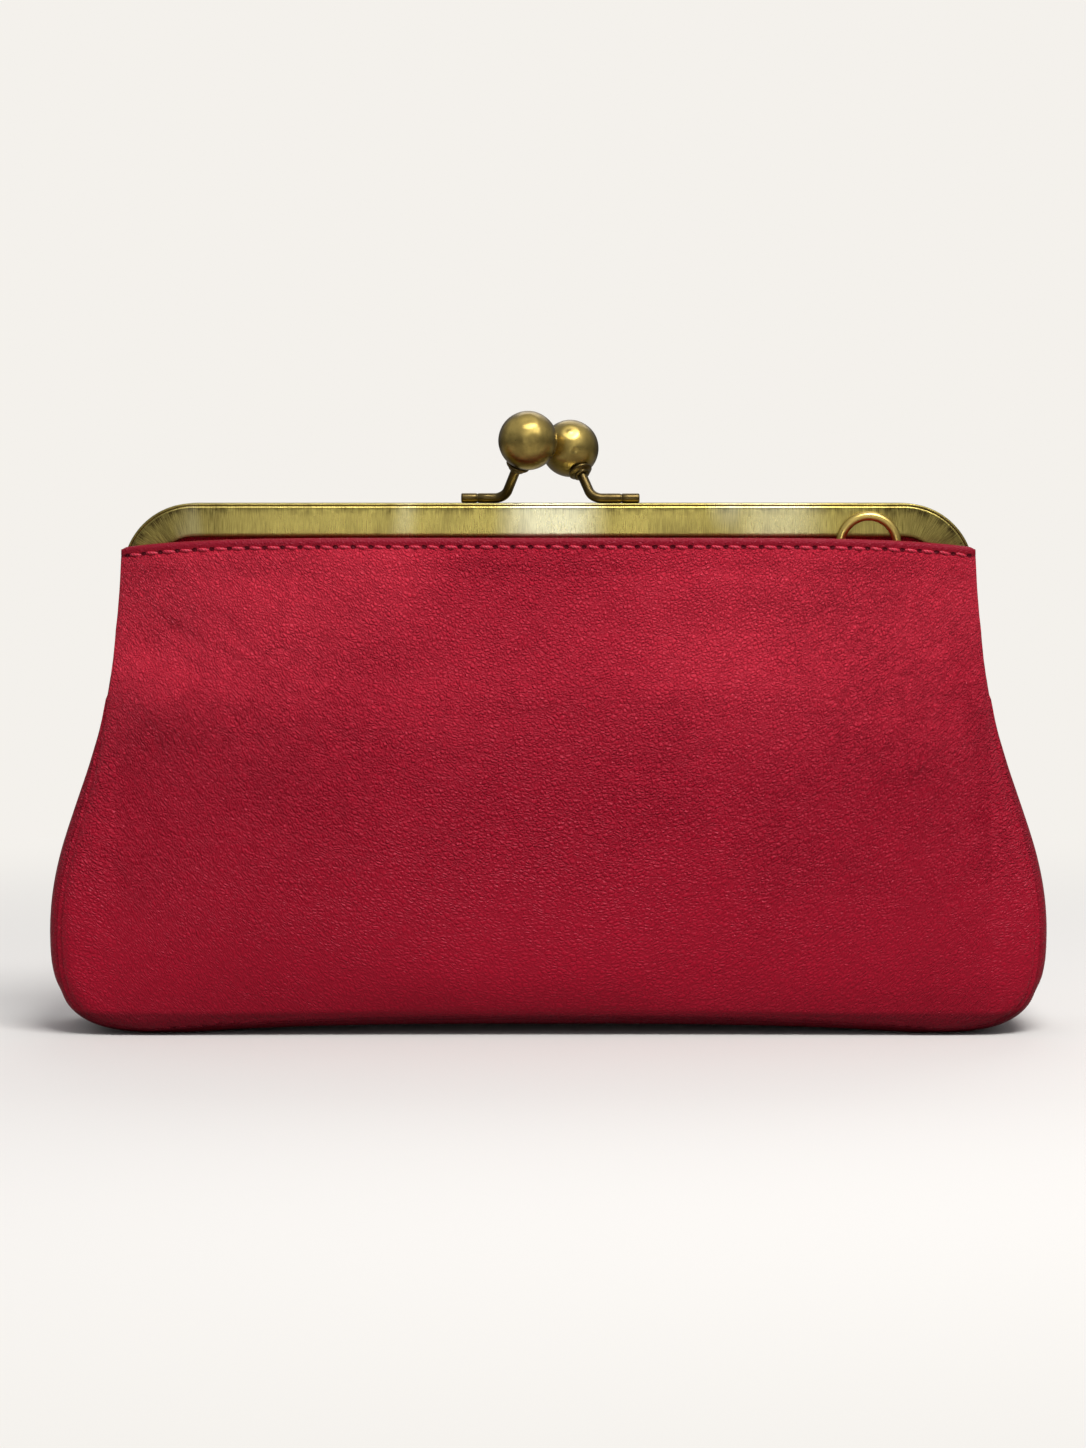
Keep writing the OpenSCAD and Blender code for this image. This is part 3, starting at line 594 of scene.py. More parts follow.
def lining_material(name, colour):
    """Fine twill lining cloth."""
    s = Shader(name)
    rest = s.rest()
    slant, cross = s.bands(s.leant(rest, 45), 520.0, 0.6), s.bands(s.leant(rest, -45), 900.0, 0.4)
    weave = s.mad(cross, 0.35, s.times(slant, 0.65))
    slub = s.noise(s.mapped(rest, (60, 60, 700)), 1.0, 3.0, 0.6)
    base = s.blend(weave, tint(colour, 0.62), tint(colour, 1.15))
    base = s.blend(s.ramp(slub, 0.35, 0.7, 0.0, 0.35), base, tint(colour, 0.75))
    height = s.mad(slub, 0.03, s.times(weave, 0.05))
    return s.surface(base, 0.8, 0.8, height, {"Specular IOR Level": 0.18})


def brushed_material(name, bright, dark, brush):
    """Antique brass brushed across the bar, darker towards the corners and under the rim, with painted
    highlights along the top.
    """
    s = Shader(name)
    pattern = s.pattern()
    place = s.place()
    x = s.parts(place)[0]
    wobble = s.noise(s.mapped(pattern, (0.5, 0.5, 1)), 1.0, 2.0)
    strokes = s.noise(s.mapped(pattern, (9.0, 0.30, 1)), 1.0, 4.0, 0.65, 0.25)
    hairs = s.noise(s.mapped(pattern, (26.0, 0.5, 1)), 1.0, 3.0, 0.7, 0.15)
    bands = s.noise(s.mapped(pattern, (0.16, 0.05, 1)), 1.0, 3.0, 0.55)
    spots = s.noise(s.mapped(place), 700.0, 4.0, 0.7)
    ends = s.ramp(s.abs(x), 0.052, 0.086)
    v = s.parts(pattern)[1]
    under_rim = s.times(s.ramp(v, -1.0, -2.8, 1.0, 0.0), s.ramp(v, -0.9, -1.0))
    ripple = s.noise(s.mapped(pattern, (0.045, 0.02, 1), shift=(2.3, 0, 0)), 1.0, 2.0, 0.5)
    # Painted highlights: two bright patches along the top, and the crests of the ripple, stand in for the
    # reflection of the lamp in front
    middle = s.ramp(s.abs(s.minus(x, 0.0006)), 0.003, 0.013, 1.0, 0.0)
    right = s.ramp(s.abs(s.minus(x, 0.047)), 0.002, 0.012, 0.45, 0.0)
    painted_highlight = s.math("ADD", s.math("ADD", middle, s.ramp(ripple, 0.56, 0.72, 0.0, 0.5)), right)
    painted_highlight = s.times(painted_highlight, s.ramp(strokes, 0.25, 0.6, 0.5, 1.0), clip=True)
    tarnish = s.mad(ends, 0.62, s.ramp(bands, 0.45, 0.75, 0.0, 0.35))
    tarnish = s.mad(s.times(under_rim, s.ramp(wobble, 0.35, 0.6)), 0.45, tarnish)
    tarnish = s.times(tarnish, s.ramp(strokes, 0.3, 0.68, 1.25, 0.55))
    tarnish = s.math("MAXIMUM", s.math("MINIMUM", tarnish, 1.0), 0.0)
    tone = s.blend(s.ramp(strokes, 0.32, 0.7), tint(bright, 0.66), tint(bright, 1.16))
    tone = s.blend(s.ramp(hairs, 0.54, 0.74, 0.0, 0.42), tone, dark)
    tone = s.blend(tarnish, tone, dark)
    tone = s.blend(s.times(painted_highlight, 0.8), tone, (0.97, 0.93, 0.64))
    tone = s.blend(s.ramp(spots, 0.66, 0.78, 0.0, 0.5), tone, dark)
    rough = s.mad(strokes, 0.16, 0.20)
    rough = s.mad(tarnish, 0.14, rough)
    height = s.mad(hairs, 0.016 * brush, s.times(strokes, 0.03 * brush))
    height = s.mad(ripple, 0.25, height)
    grooves = s.get("Tangent", direction_type="UV_MAP", uv_map="Surface")
    return s.surface(tone, rough, 0.6, height, {"Metallic": 1.0, "Anisotropic": 0.45, "Tangent": grooves})


def cast_material(name, bright, dark, wear, rough_low, rim=0.6, shade_z=None):
    """Plain antique brass: cloudy tarnish, small scratches and brighter worn places, with painted shade
    towards the outline.
    """
    s = Shader(name)
    place = s.place()
    cloud = s.noise(place, 210.0, 4.0, 0.6, 0.3)
    speck = s.noise(place, 1500.0, 4.0, 0.75)
    scratch_at = s.mapped(place, (2400, 300, 900), (0.4, 0.7, 0.2))
    scratch = s.noise(scratch_at, 1.0, 2.0, 0.6, 0.2)
    worn = s.ramp(cloud, 0.35, 0.68)
    tone = s.blend(worn, tuple(mix(d, b, wear) for b, d in zip(bright, dark)), bright)
    tone = s.blend(s.ramp(speck, 0.62, 0.74, 0.0, 0.55), tone, dark)
    tone = s.blend(s.ramp(scratch, 0.68, 0.8, 0.0, 0.35), tone, dark)
    # Painted shade: darker where the surface turns away from the camera, by rim, and below shade_z when that
    # is given
    edge_on = s.add("LayerWeight", {"Blend": 0.5}).outputs["Facing"]
    shaded = tuple(mix(d, b, 0.12) for b, d in zip(bright, dark))
    tone = s.blend(s.ramp(edge_on, 0.25, 0.85, 0.0, rim), tone, shaded)
    if shade_z:
        z = s.parts(place)[2]
        tone = s.blend(s.ramp(z, shade_z, shade_z - 0.0035, 0.0, 0.62), tone, shaded)
    rough = s.mad(s.minus(1.0, worn), 0.12, rough_low)
    rough = s.mad(speck, 0.08, rough)
    height = s.mad(speck, 0.01, s.times(s.ramp(scratch, 0.66, 0.8), -0.008))
    return s.surface(tone, rough, 0.5, height, {"Metallic": 1.0})


def thread_material(name, colour):
    """Twisted, lightly waxed thread."""
    s = Shader(name)
    place = s.place()
    twist = s.bands(s.leant(place, 38), 640.0, 0.4)
    fuzz = s.noise(place, 4200.0, 2.0, 0.6)
    base = s.blend(twist, tint(colour, 0.62), tint(colour, 1.1))
    height = s.mad(fuzz, 0.02, s.times(twist, 0.05))
    return s.surface(base, 0.5, 0.9, height, {"Sheen Weight": 0.1})


def paper_material(name, colour, fibre):
    """Twisted paper cord or pressed board."""
    s = Shader(name)
    place = s.place()
    cloud = s.noise(place, 500.0, 5.0, 0.7)
    stripe = s.bands(place, fibre, 3.0, "DIAGONAL", Detail=3.0)
    base = s.blend(cloud, tint(colour, 0.75), colour)
    base = s.blend(s.times(stripe, 0.3), base, tint(colour, 0.6))
    return s.surface(base, 0.85, 0.7, s.times(stripe, 0.08), {})


def material(name, make, *values, **more):
    """The material of that name, made once."""
    return bpy.data.materials.get(name) or make(name, *values, **more)


def leather(scene, name="red_leather", share=1.0, holes=False):
    look = scene.purse_leather
    # A share below 1 gives a darker copy of the leather, which the side strip takes as painted shade
    colour = tuple(look.colour) if share == 1.0 else tint(look.colour, share)
    return material(name, leather_material, colour, look.grain, look.creases, holes=holes)


def flesh_side(scene):
    return material("leather_flesh_side", suede_material, tuple(scene.purse_leather.flesh_colour))


def cloth(scene):
    return material("lining_cloth", lining_material, tuple(scene.purse_leather.lining_colour))


def brushed_brass(scene):
    look = scene.purse_metal
    return material("brushed_brass", brushed_material, tuple(look.brass), tuple(look.tarnish), look.brushing)


def cast_brass(scene, name, colour, wear, rough_low, **more):
    tarnish = tuple(scene.purse_metal.tarnish)
    return material(name, cast_material, tuple(colour), tarnish, wear, rough_low, **more)


def ball_brass(scene):
    # The balls get strong painted shade towards their outline and on their lower part
    return cast_brass(scene, "ball_brass", scene.purse_metal.ball, 0.5, 0.25, rim=0.95, shade_z=0.1195)


def ring_brass(scene):
    # The ring gets slight painted shade towards its outline
    return cast_brass(scene, "ring_brass", tint(scene.purse_metal.ball, 1.25), 0.85, 0.22, rim=0.25)


def dark_brass(scene):
    return cast_brass(scene, "dark_brass", scene.purse_metal.fittings, 0.35, 0.26)


def red_thread(scene):
    return material("red_thread", thread_material, tuple(scene.purse_stitches.colour))


# Geometry node trees
class Tree(Nodes):
    """A geometry node tree with named inputs."""

    def __init__(self, name, inputs):
        super().__init__(bpy.data.node_groups.new(name, "GeometryNodeTree"))
        face = self.tree.interface
        face.new_socket("Geometry", in_out="INPUT", socket_type="NodeSocketGeometry")
        for key, kind, value in inputs:
            socket = face.new_socket(key, in_out="INPUT", socket_type="NodeSocket" + kind)
            if value is not None:
                socket.default_value = value
        face.new_socket("Geometry", in_out="OUTPUT", socket_type="NodeSocketGeometry")
        self.given = self.add("NodeGroupInput").outputs
        self.result = self.add("NodeGroupOutput").inputs[0]

    def math(self, operation, a, b):
        return self.get("ShaderNodeMath", {0: a, 1: b}, operation=operation)

    def point(self, **parts):
        return self.get("ShaderNodeCombineXYZ", {"XYZ".index(key): value for key, value in parts.items()})

    def random(self, low, high):
        values = {2: low, 3: high, "Seed": self.given["Seed"]}
        return self.add("FunctionNodeRandomValue", values, data_type="FLOAT").outputs[1]

    def facing(self):
        return self.get("GeometryNodeInputNamedAttribute", {"Name": "facing"}, data_type="FLOAT_VECTOR")

    def tube(self, line, sides, thickness, **more):
        """A round wire along a line."""
        circle = {"Resolution": sides, "Radius": self.math("MULTIPLY", thickness, 0.5)}
        ring = self.get("GeometryNodeCurvePrimitiveCircle", circle)
        wire = self.get("GeometryNodeCurveToMesh", {"Curve": line, "Profile Curve": ring, **more})
        return self.get("GeometryNodeSetShadeSmooth", {"Geometry": wire})

    def finish(self, geometry):
        solid = self.get("GeometryNodeRealizeInstances", {0: geometry})
        painted = self.get("GeometryNodeSetMaterial", {"Geometry": solid, "Material": self.given["Material"]})
        self.links.new(painted, self.result)
        return self.tree


def stitch_tree():
    """Stitches set out along each line of the incoming mesh, with their tops turned to its normals."""
    t = Tree(
        "Stitches along a line",
        [
            ("Pitch", "Float", 0.0036), ("Stitch Length", "Float", 0.0025),
            ("Thread Thickness", "Float", 0.00045), ("Rise", "Float", 0.0002), ("Slant", "Float", 0.1),
            ("Unevenness", "Float", 0.05), ("Seed", "Int", 1), ("Material", "Material", None)
        ]
    )
    g = t.given
    half = t.math("MULTIPLY", g["Stitch Length"], 0.5)
    sink = t.math("MULTIPLY", g["Thread Thickness"], -0.75)
    ends = {"Start": t.point(X=t.math("MULTIPLY", half, -1.0), Z=sink), "End": t.point(X=half, Z=sink)}
    middle = t.point(Z=t.math("MULTIPLY", g["Rise"], 3.0))
    line = t.get("GeometryNodeCurveQuadraticBezier", {"Resolution": 8, "Middle": middle, **ends})
    stitch = t.tube(line, 8, g["Thread Thickness"], **{"Fill Caps": True})
    curve = t.get("GeometryNodeMeshToCurve", {0: g["Geometry"]})
    spots = t.add("GeometryNodeCurveToPoints", {"Curve": curve, "Length": g["Pitch"]}, mode="LENGTH").outputs
    turn = t.get("FunctionNodeAlignRotationToVector", {"Vector": spots["Tangent"]}, axis="X")
    upright = {"Rotation": turn, "Vector": t.facing()}
    turn = t.get("FunctionNodeAlignRotationToVector", upright, axis="Z", pivot_axis="X")
    swing = t.random(*(t.math(way, g["Slant"], g["Unevenness"]) for way in ("SUBTRACT", "ADD")))
    yaw = t.get("FunctionNodeEulerToRotation", {0: t.point(Z=swing)})
    turn = t.get("FunctionNodeRotateRotation", {0: turn, 1: yaw}, rotation_space="LOCAL")
    places = {"Points": spots["Points"], "Instance": stitch, "Rotation": turn, "Scale": t.random(0.94, 1.05)}
    return t.finish(t.get("GeometryNodeInstanceOnPoints", places))


def ring_tree():
    """A D-shaped wire ring lying in the XZ plane, with its bar through the origin."""
    t = Tree("D ring of wire", [
        ("Width", "Float", 0.0134), ("Height", "Float", 0.01105), ("Wire Thickness", "Float", 0.0017),
        ("Corner Bend", "Float", 0.00185), ("Material", "Material", None),
    ])
    g, work = t.given, t.math
    width, height = (work("SUBTRACT", g[key], g["Wire Thickness"]) for key in ("Width", "Height"))
    square = t.get("GeometryNodeCurvePrimitiveQuadrilateral", {0: width, 1: height}, mode="RECTANGLE")
    where = t.add("ShaderNodeSeparateXYZ", {0: t.get("GeometryNodeInputPosition")}).outputs[1]
    # The upper corners are bent so far that they meet in an arch
    arch_bend = work("SUBTRACT", work("MULTIPLY", work("MULTIPLY", width, 0.5), 0.995), g["Corner Bend"])
    bend = work("ADD", work("MULTIPLY", work("GREATER_THAN", where, 0.0), arch_bend), g["Corner Bend"])
    corners = {"Curve": square, "Radius": bend, "Count": 14, "Limit Radius": True}
    bent = t.get("GeometryNodeFilletCurve", corners, mode="POLY")
    stand = {"Rotation": (math.pi / 2, 0, 0), "Translation": t.point(Z=work("MULTIPLY", height, 0.5))}
    bent = t.get("GeometryNodeTransform", {"Geometry": bent, **stand})
    return t.finish(t.tube(bent, 24, g["Wire Thickness"]))


def rivet_tree():
    """A turned rivet stood at each point of the incoming mesh, along its facing."""
    t = Tree("Rivets at points", [("Rivet", "Object", None), ("Material", "Material", None)])
    shape = t.add("GeometryNodeObjectInfo", {"Object": t.given["Rivet"]}).outputs["Geometry"]
    turn = t.get("FunctionNodeAlignRotationToVector", {"Vector": t.facing()}, axis="X")
    points = t.get("GeometryNodeMeshToPoints", {"Mesh": t.given["Geometry"]})
    return t.finish(
        t.get("GeometryNodeInstanceOnPoints", {"Points": points, "Instance": shape, "Rotation": turn})
    )


def baked(name, source, tree, values):
    """The tree's result on the source as a plain mesh object of its own."""
    modifier = source.modifiers.new("Make", "NODES")
    modifier.node_group = tree
    for item in tree.interface.items_tree:
        if item.item_type == "SOCKET" and item.in_out == "INPUT" and item.name in values:
            modifier[item.identifier] = values[item.name]
    bpy.context.view_layer.update()
    depsgraph = bpy.context.evaluated_depsgraph_get()
    mesh = bpy.data.meshes.new_from_object(source.evaluated_get(depsgraph), depsgraph=depsgraph)
    mesh.name = name
    if not len(mesh.polygons):
        raise RuntimeError(f"{name}: the node tree made nothing")
    source.modifiers.remove(modifier)
    old = source.data
    bpy.data.objects.remove(source)
    bpy.data.meshes.remove(old)
    return new_object(name, mesh)


def line_object(name, lines, facings):
    """A mesh of open lines, each point with the direction that it faces."""
    points = np.concatenate(lines)
    edges, start = [], 0
    for line in lines:
        edges += [(start + i, start + i + 1) for i in range(len(line) - 1)]
        start += len(line)
    mesh = bpy.data.meshes.new(name)
    mesh.from_pydata((points * MM).tolist(), edges, [])
    attribute = mesh.attributes.new("facing", "FLOAT_VECTOR", "POINT")
    attribute.data.foreach_set("vector", np.concatenate(facings).astype(np.float32).ravel())
    return new_object(name, mesh)


# Leather surfaces
def side_columns(count, fine):
    """Shares from -1 to 1 across a panel, with a few more close to both edges."""
    near = 1 - np.array(fine) / 100.0
    middle = np.linspace(-near[-1], near[-1], count)
    return np.concatenate([-near, middle[1:-1], near[::-1]])


EDGE_STEPS = [0.0, 0.12, 0.3, 0.55, 0.85, 1.2, 1.65, 2.2, 2.9]


def low_rows(top_z, step):
    """Lengths along the outline from the foot to a height."""
    end = run_at(top_z)
    start = np.array([0.0, 0.25, 0.55, 0.95, 1.45])
    rest = np.linspace(2.1, end, int((end - 2.1) / step) + 2)
    return np.concatenate([start, rest])


def panel_frame(u, run, extra=0.0):
    """x, z of a panel's point between the side seams, and the seam's height there. extra widens the panel."""
    rx, rz, nx, nz = rim(run)
    upright = np.abs(nx)
    inset = inset_at(rz) * (1 + SIDE_SHOW * upright * ease((76 - rz) / 34))
    inset = inset - extra * (0.35 + 0.65 * upright) * (inset_at(rz) / SEAM_INSET)
    reach, seam_z = rx + inset * nx, rz + inset * nz
    x = u[None, :] * reach[:, None]
    zs = seam_z[:, None]
    rise = (ARCH_H + SEAM_INSET * 0.75) * (1 - clamp(np.abs(x) / HALF_FOOT) ** 2.5)
    z = zs + rise * clamp(1 - zs / 14) ** 1.5
    return x, z, np.broadcast_to(zs, x.shape)


def edge_distance(x, z, run_top, extra=0.0):
    """Distance of each point from the sewn edge, along the bottom and up both sides."""
    u = np.linspace(-1, 1, 161)
    bx, bz, _ = panel_frame(u, np.array([0.0]), extra)
    sx, sz, _ = panel_frame(np.array([-1.0, 1.0]), np.linspace(0, run_top, 220), extra)
    edge = np.concatenate([np.stack([bx.ravel(), bz.ravel()], -1), np.stack([sx.ravel(), sz.ravel()], -1)])
    points = np.stack([x.ravel(), z.ravel()], -1)
    nearest = np.empty(len(points))
    for i in range(0, len(points), 4000):
        gap = points[i : i + 4000, None] - edge[None]
        nearest[i : i + 4000] = np.sqrt((gap**2).sum(-1).min(1))
    return nearest.reshape(x.shape)


def crease(x, z, at, turn, length, width, depth):
    """One soft fold line: a shallow valley with a low ridge on each side."""
    a = math.radians(turn)
    along = (x - at[0]) * math.cos(a) + (z - at[1]) * math.sin(a)
    across = -(x - at[0]) * math.sin(a) + (z - at[1]) * math.cos(a)
    across = across - 0.10 * length * (along / length) ** 2
    window = ease(1 - np.abs(along) / length)
    return window * depth * (1.1 * bell(np.abs(across) - 1.9 * width, width) - bell(across, width))


def scattered_creases(seed, x, z, count, box, turn, spread, length, width, depth):
    rng = np.random.default_rng(seed)
    total = np.zeros(x.shape)
    for _ in range(count):
        at = (rng.uniform(box[0], box[1]), rng.uniform(box[2], box[3]))
        size = rng.uniform(0.5, 1.0)
        lean = turn + rng.uniform(-spread, spread)
        total += crease(x, z, at, lean, length * size, width * rng.uniform(0.7, 1.3), depth * size)
    return total


def front_relief(x, z, edge):
    """How the front leather stands proud of its plain form: soft ground, side tension and a few folds."""
    d = waves(11, x, z, 14, 34, 80, 0.42)
    d += waves(12, x, z, 18, 12, 26, 0.12) * ease((z - 18) / 50)
    d += 1.5 * bell(x + 78, 11) * bell(z - 67, 7) - 1.0 * bell(x + 82, 10) * bell(z - 80, 6)
    d += 0.8 * bell(x + 64, 16) * bell(z - 89, 6) + 0.7 * bell(x - 30, 26) * bell(z - 90, 6)
    d += 0.7 * bell(x + 4, 22) * bell(z - 83, 8) - 0.8 * bell(x + 40, 28) * bell(z - 73, 6)
    d += 1.0 * bell(x - 76, 10) * bell(z - 58, 8) - 0.8 * bell(x - 82, 8) * bell(z - 70, 7)
    d += scattered_creases(21, x, z, 13, (-86, -58, 60, 86), -30, 12, 11, 1.4, 0.12)
    d += scattered_creases(22, x, z, 12, (58, 87, 52, 80), 33, 12, 11, 1.4, 0.12)
    d += scattered_creases(23, x, z, 9, (-40, 45, 52, 76), -8, 22, 16, 1.7, 0.12)
    d += scattered_creases(24, x, z, 7, (70, 84, 86, 97), 66, 16, 8, 1.1, 0.17)
    d += scattered_creases(25, x, z, 6, (-95, -84, 20, 44), -58, 12, 12, 1.8, 0.10)
    d += scattered_creases(26, x, z, 6, (84, 96, 18, 44), 58, 12, 12, 1.8, 0.10)
    return d * ease(edge / 9)


def back_relief(x, z, edge):
    d = waves(31, x, z, 14, 32, 76, 0.42)
    d += waves(32, x, z, 18, 13, 26, 0.09) * ease((z - 14) / 50)
    d += 0.8 * bell(x - 76, 10) * bell(z - 62, 8) + 0.7 * bell(x + 78, 10) * bell(z - 60, 9)
    d -= 0.6 * bell(x - 82, 9) * bell(z - 74, 6) + 0.6 * bell(x + 83, 9) * bell(z - 73, 6)
    d += scattered_creases(41, x, z, 12, (-87, -56, 54, 84), -32, 14, 14, 1.6, 0.14)
    d += scattered_creases(42, x, z, 12, (56, 87, 54, 84), 32, 14, 14, 1.6, 0.14)
    d += scattered_creases(43, x, z, 10, (-48, 48, 46, 80), 4, 24, 18, 1.8, 0.08)
    gather = waves(44, x, z * 0.12, 16, 7, 16, 0.30)
    d += gather * ease((96.5 - z) / 6) * ease((z - 62) / 34)
    return d * ease(edge / 9)


def rolled(edge, width, depth):
    """How far an edge rolls back towards its seam."""
    t = clamp((width - edge) / width)
    return depth * (1 - np.sqrt(np.maximum(0, 1 - t * t)))


# Rows of the pocket's hem, as distances below its top, and which of them the stitches lie on
HEM_ROWS = np.array(
    [
        9.6, 8.9, 8.35, 7.95, 7.5, 6.9, 6.2, 5.5, 4.9, 4.4, 3.95, 3.55, 3.2, 2.9, 2.65, 2.45, 2.28, 2.12,
        1.98, 1.85, 1.72, 1.58, 1.42, 1.24, 1.08
    ]
)
STITCH_ROW = int(np.argmin(np.abs(HEM_ROWS - STITCH_DOWN)))


def pocket_surface(leather_t, columns=214):
    """Outer and inner grids of the pocket panel, with its hem turned over at the top."""
    u = side_columns(columns, EDGE_STEPS)
    hem_r = (leather_t + HEM_GLUE + HEM_PLY) / 2
    angles = np.radians([0, 16, 32, 48, 63, 77])
    low = low_rows(HEM_END_Z - 10.4, 0.95)
    roll = np.repeat(run_at(HEM_END_Z - hem_r), len(angles))
    run = np.concatenate([low, run_at(HEM_END_Z - HEM_ROWS), roll])
    x, z, zs = panel_frame(u, run)
    z = z + 0.6 * (1 - clamp(np.abs(x) / HALF_FOOT) ** 2.5) * clamp(1 - zs / 14) ** 2
    z = z + (hem_z(x) - HEM_END_Z) * ease((zs - 76) / (HEM_END_Z - 76))
    down = np.maximum(HEM_END_Z - zs, hem_r)
    edge = edge_distance(x, z, run_at(HEM_END_Z))
    full = fullness(np.abs(u)[None, :] + 0 * x, zs)
    low_mid = full_depth(zs, POCKET_FOLD + FOLD_STEP, 2)
    low_edge = seam_depth(zs) + 2 * leather_t + PLY_GAP
    to_fold = POCKET_SIDE + FOLD_STEP - THROAT - 2 * leather_t - PLY_GAP
    low_edge = low_edge + to_fold * ease((zs - 55) / (HINGE_Z - 58))
    up_mid = mix(POCKET_FOLD, POCKET_TOP, (z - HINGE_Z) / (HEM_MID_Z - HINGE_Z))
    share = ease((zs - FOLD_LOW) / (FOLD_HIGH - FOLD_LOW))
    depth = mix(mix(low_edge, low_mid, full), mix(POCKET_SIDE, up_mid, full), share)
    relief = front_relief(x, z, edge) * ease((down - 2.2) / 7)
    depth = depth + relief
    depth -= 0.30 * bell(down - STITCH_DOWN, 0.34)
    depth += 0.26 * bell(down - 4.3, 1.9) * ease(edge / 5)
    depth += 0.07 * bell(down - 1.1, 0.5)
    tug = np.cos(2 * math.pi * x / 3.6) * 0.045 + waves(51, x, z * 0.25, 14, 4, 9, 0.075)
    depth += tug * ease((down - 1.9) / 0.8) * ease((8.5 - down) / 5.5) * ease(edge / 4)
    # Below the hinges the edge is pared thin and rolls back into the seam
    sewn = 1 - ease((zs - 66) / 14)
    depth -= rolled(edge, 2.6, 1.25) * sewn + rolled(edge, 1.3, 0.5) * (1 - sewn)
    thick = mix(leather_t, 2 * hem_r, ease((8.6 - down) / 0.7))
    pared = mix(0.35, thick, ease(edge / 3.2))
    thick = mix(pared, mix(thick - 0.75, thick, ease(edge / 1.3)), 1 - sewn)
    back = depth - thick
    outer = np.stack([x, -depth, z], -1)
    inner = np.stack([x, -back, z], -1)
    n = len(angles)
    middle, half = (outer[-n:] + inner[-n:]) / 2, (inner[-n:, :, 1] - outer[-n:, :, 1]) / 2
    cos, sin = np.cos(angles)[:, None], np.sin(angles)[:, None]
    for grid, way in ((outer, -1), (inner, 1)):
        grid[-n:, :, 1] = middle[..., 1] + way * half * cos
        grid[-n:, :, 2] = middle[..., 2] + half * sin
    return outer, inner, len(HEM_ROWS) + n


def stitch_path():
    """The line of the pocket's stitches on its outer face, and its length from the middle for each x."""
    outer, _, hem_rows = pocket_surface(LEATHER)
    line = outer[len(outer) - hem_rows + STITCH_ROW]
    run = lengths_along(line)
    return line, run - np.interp(0.0, line[:, 0], run)


def body_rows(step):
    """Rows along the outline as lengths, then level rows as heights up into the channel."""
    low = low_rows(LEVEL_ROWS_Z, step)
    z = LEVEL_ROWS_Z + np.arange(1, int((HEM_END_Z - LEVEL_ROWS_Z) / step + 1e-6) + 1) * step
    upper = np.array([99.0, 99.8, 100.5, 101.1, 101.7, 102.6, 103.8, 105.2, FRAME_TOP - CHANNEL_EDGE])
    return low, np.concatenate([z[z < 98.4], upper])


def body_surface(side, thick, columns, step, behind=0.0, widen=0.0, relief=None):
    """Outer and inner grids of the front or back panel, or of the lining behind it."""
    u = side_columns(columns, EDGE_STEPS)
    low, upper = body_rows(step)
    run = np.concatenate([low, np.full(len(upper), run_at(LEVEL_ROWS_Z))])
    x, z, zs = panel_frame(u, run, widen)
    zs, z = zs.copy(), z.copy()
    n = len(upper)
    zs[-n:] = z[-n:] = upper[:, None]
    reach = np.where(np.arange(len(run)) < len(low), x[:, -1], np.interp(z[:, 0], RIM_Z, RIM_X))
    width = mix(reach, up_half_width(zs[:, 0]) - behind / 2, ease((zs[:, 0] - 68) / 11))
    x = u[None, :] * width[:, None]
    edge = edge_distance(x, z, run_at(HINGE_Z), widen)
    full = fullness(np.abs(u)[None, :] + 0 * x, zs)
    if side < 0:
        pocket_mid = full_depth(zs, POCKET_FOLD + FOLD_STEP, 2)
        crease_depth = FRONT_FOLD + FOLD_STEP - 0.5
        belly = mix(crease_depth, HALF_D - LEATHER - PLY_GAP - 0.3, ease((CREASE_Z - zs) / 30))
        low_mid = np.minimum(belly, pocket_mid - LEATHER - PLY_GAP)
        above = mix(crease_depth, FRONT_FOLD + FOLD_STEP, (zs - CREASE_Z) / (HINGE_Z - CREASE_Z))
        low_mid = np.where(zs > CREASE_Z, above, low_mid)
        fold = FRONT_FOLD
    else:
        low_mid = full_depth(zs, BACK_FOLD + FOLD_STEP, 1.6)
        fold = BACK_FOLD
    low_depth = mix(seam_depth(zs) + LEATHER, low_mid, full)
    up_depth = PANEL_FACE + up_bow(x, z, fold)
    depth = mix(low_depth, up_depth, ease((zs - FOLD_LOW) / (FOLD_HIGH - FOLD_LOW)))
    if relief is not None:
        depth = depth + relief(x, z, edge) * ease((channel_far(x, z) - 0.8) / 5)
    sewn = 1 - ease((zs - 66) / 12)
    if behind == 0.0:
        depth = depth - rolled(edge, 2.6, 0.55) * sewn
        thickness = mix(mix(0.5, thick, ease(edge / 2.6)), thick, 1 - sewn)
    else:
        depth = depth - behind
        thickness = thick + 0 * depth
    return np.stack([x, side * depth, z], -1), np.stack([x, side * (depth - thickness), z], -1)


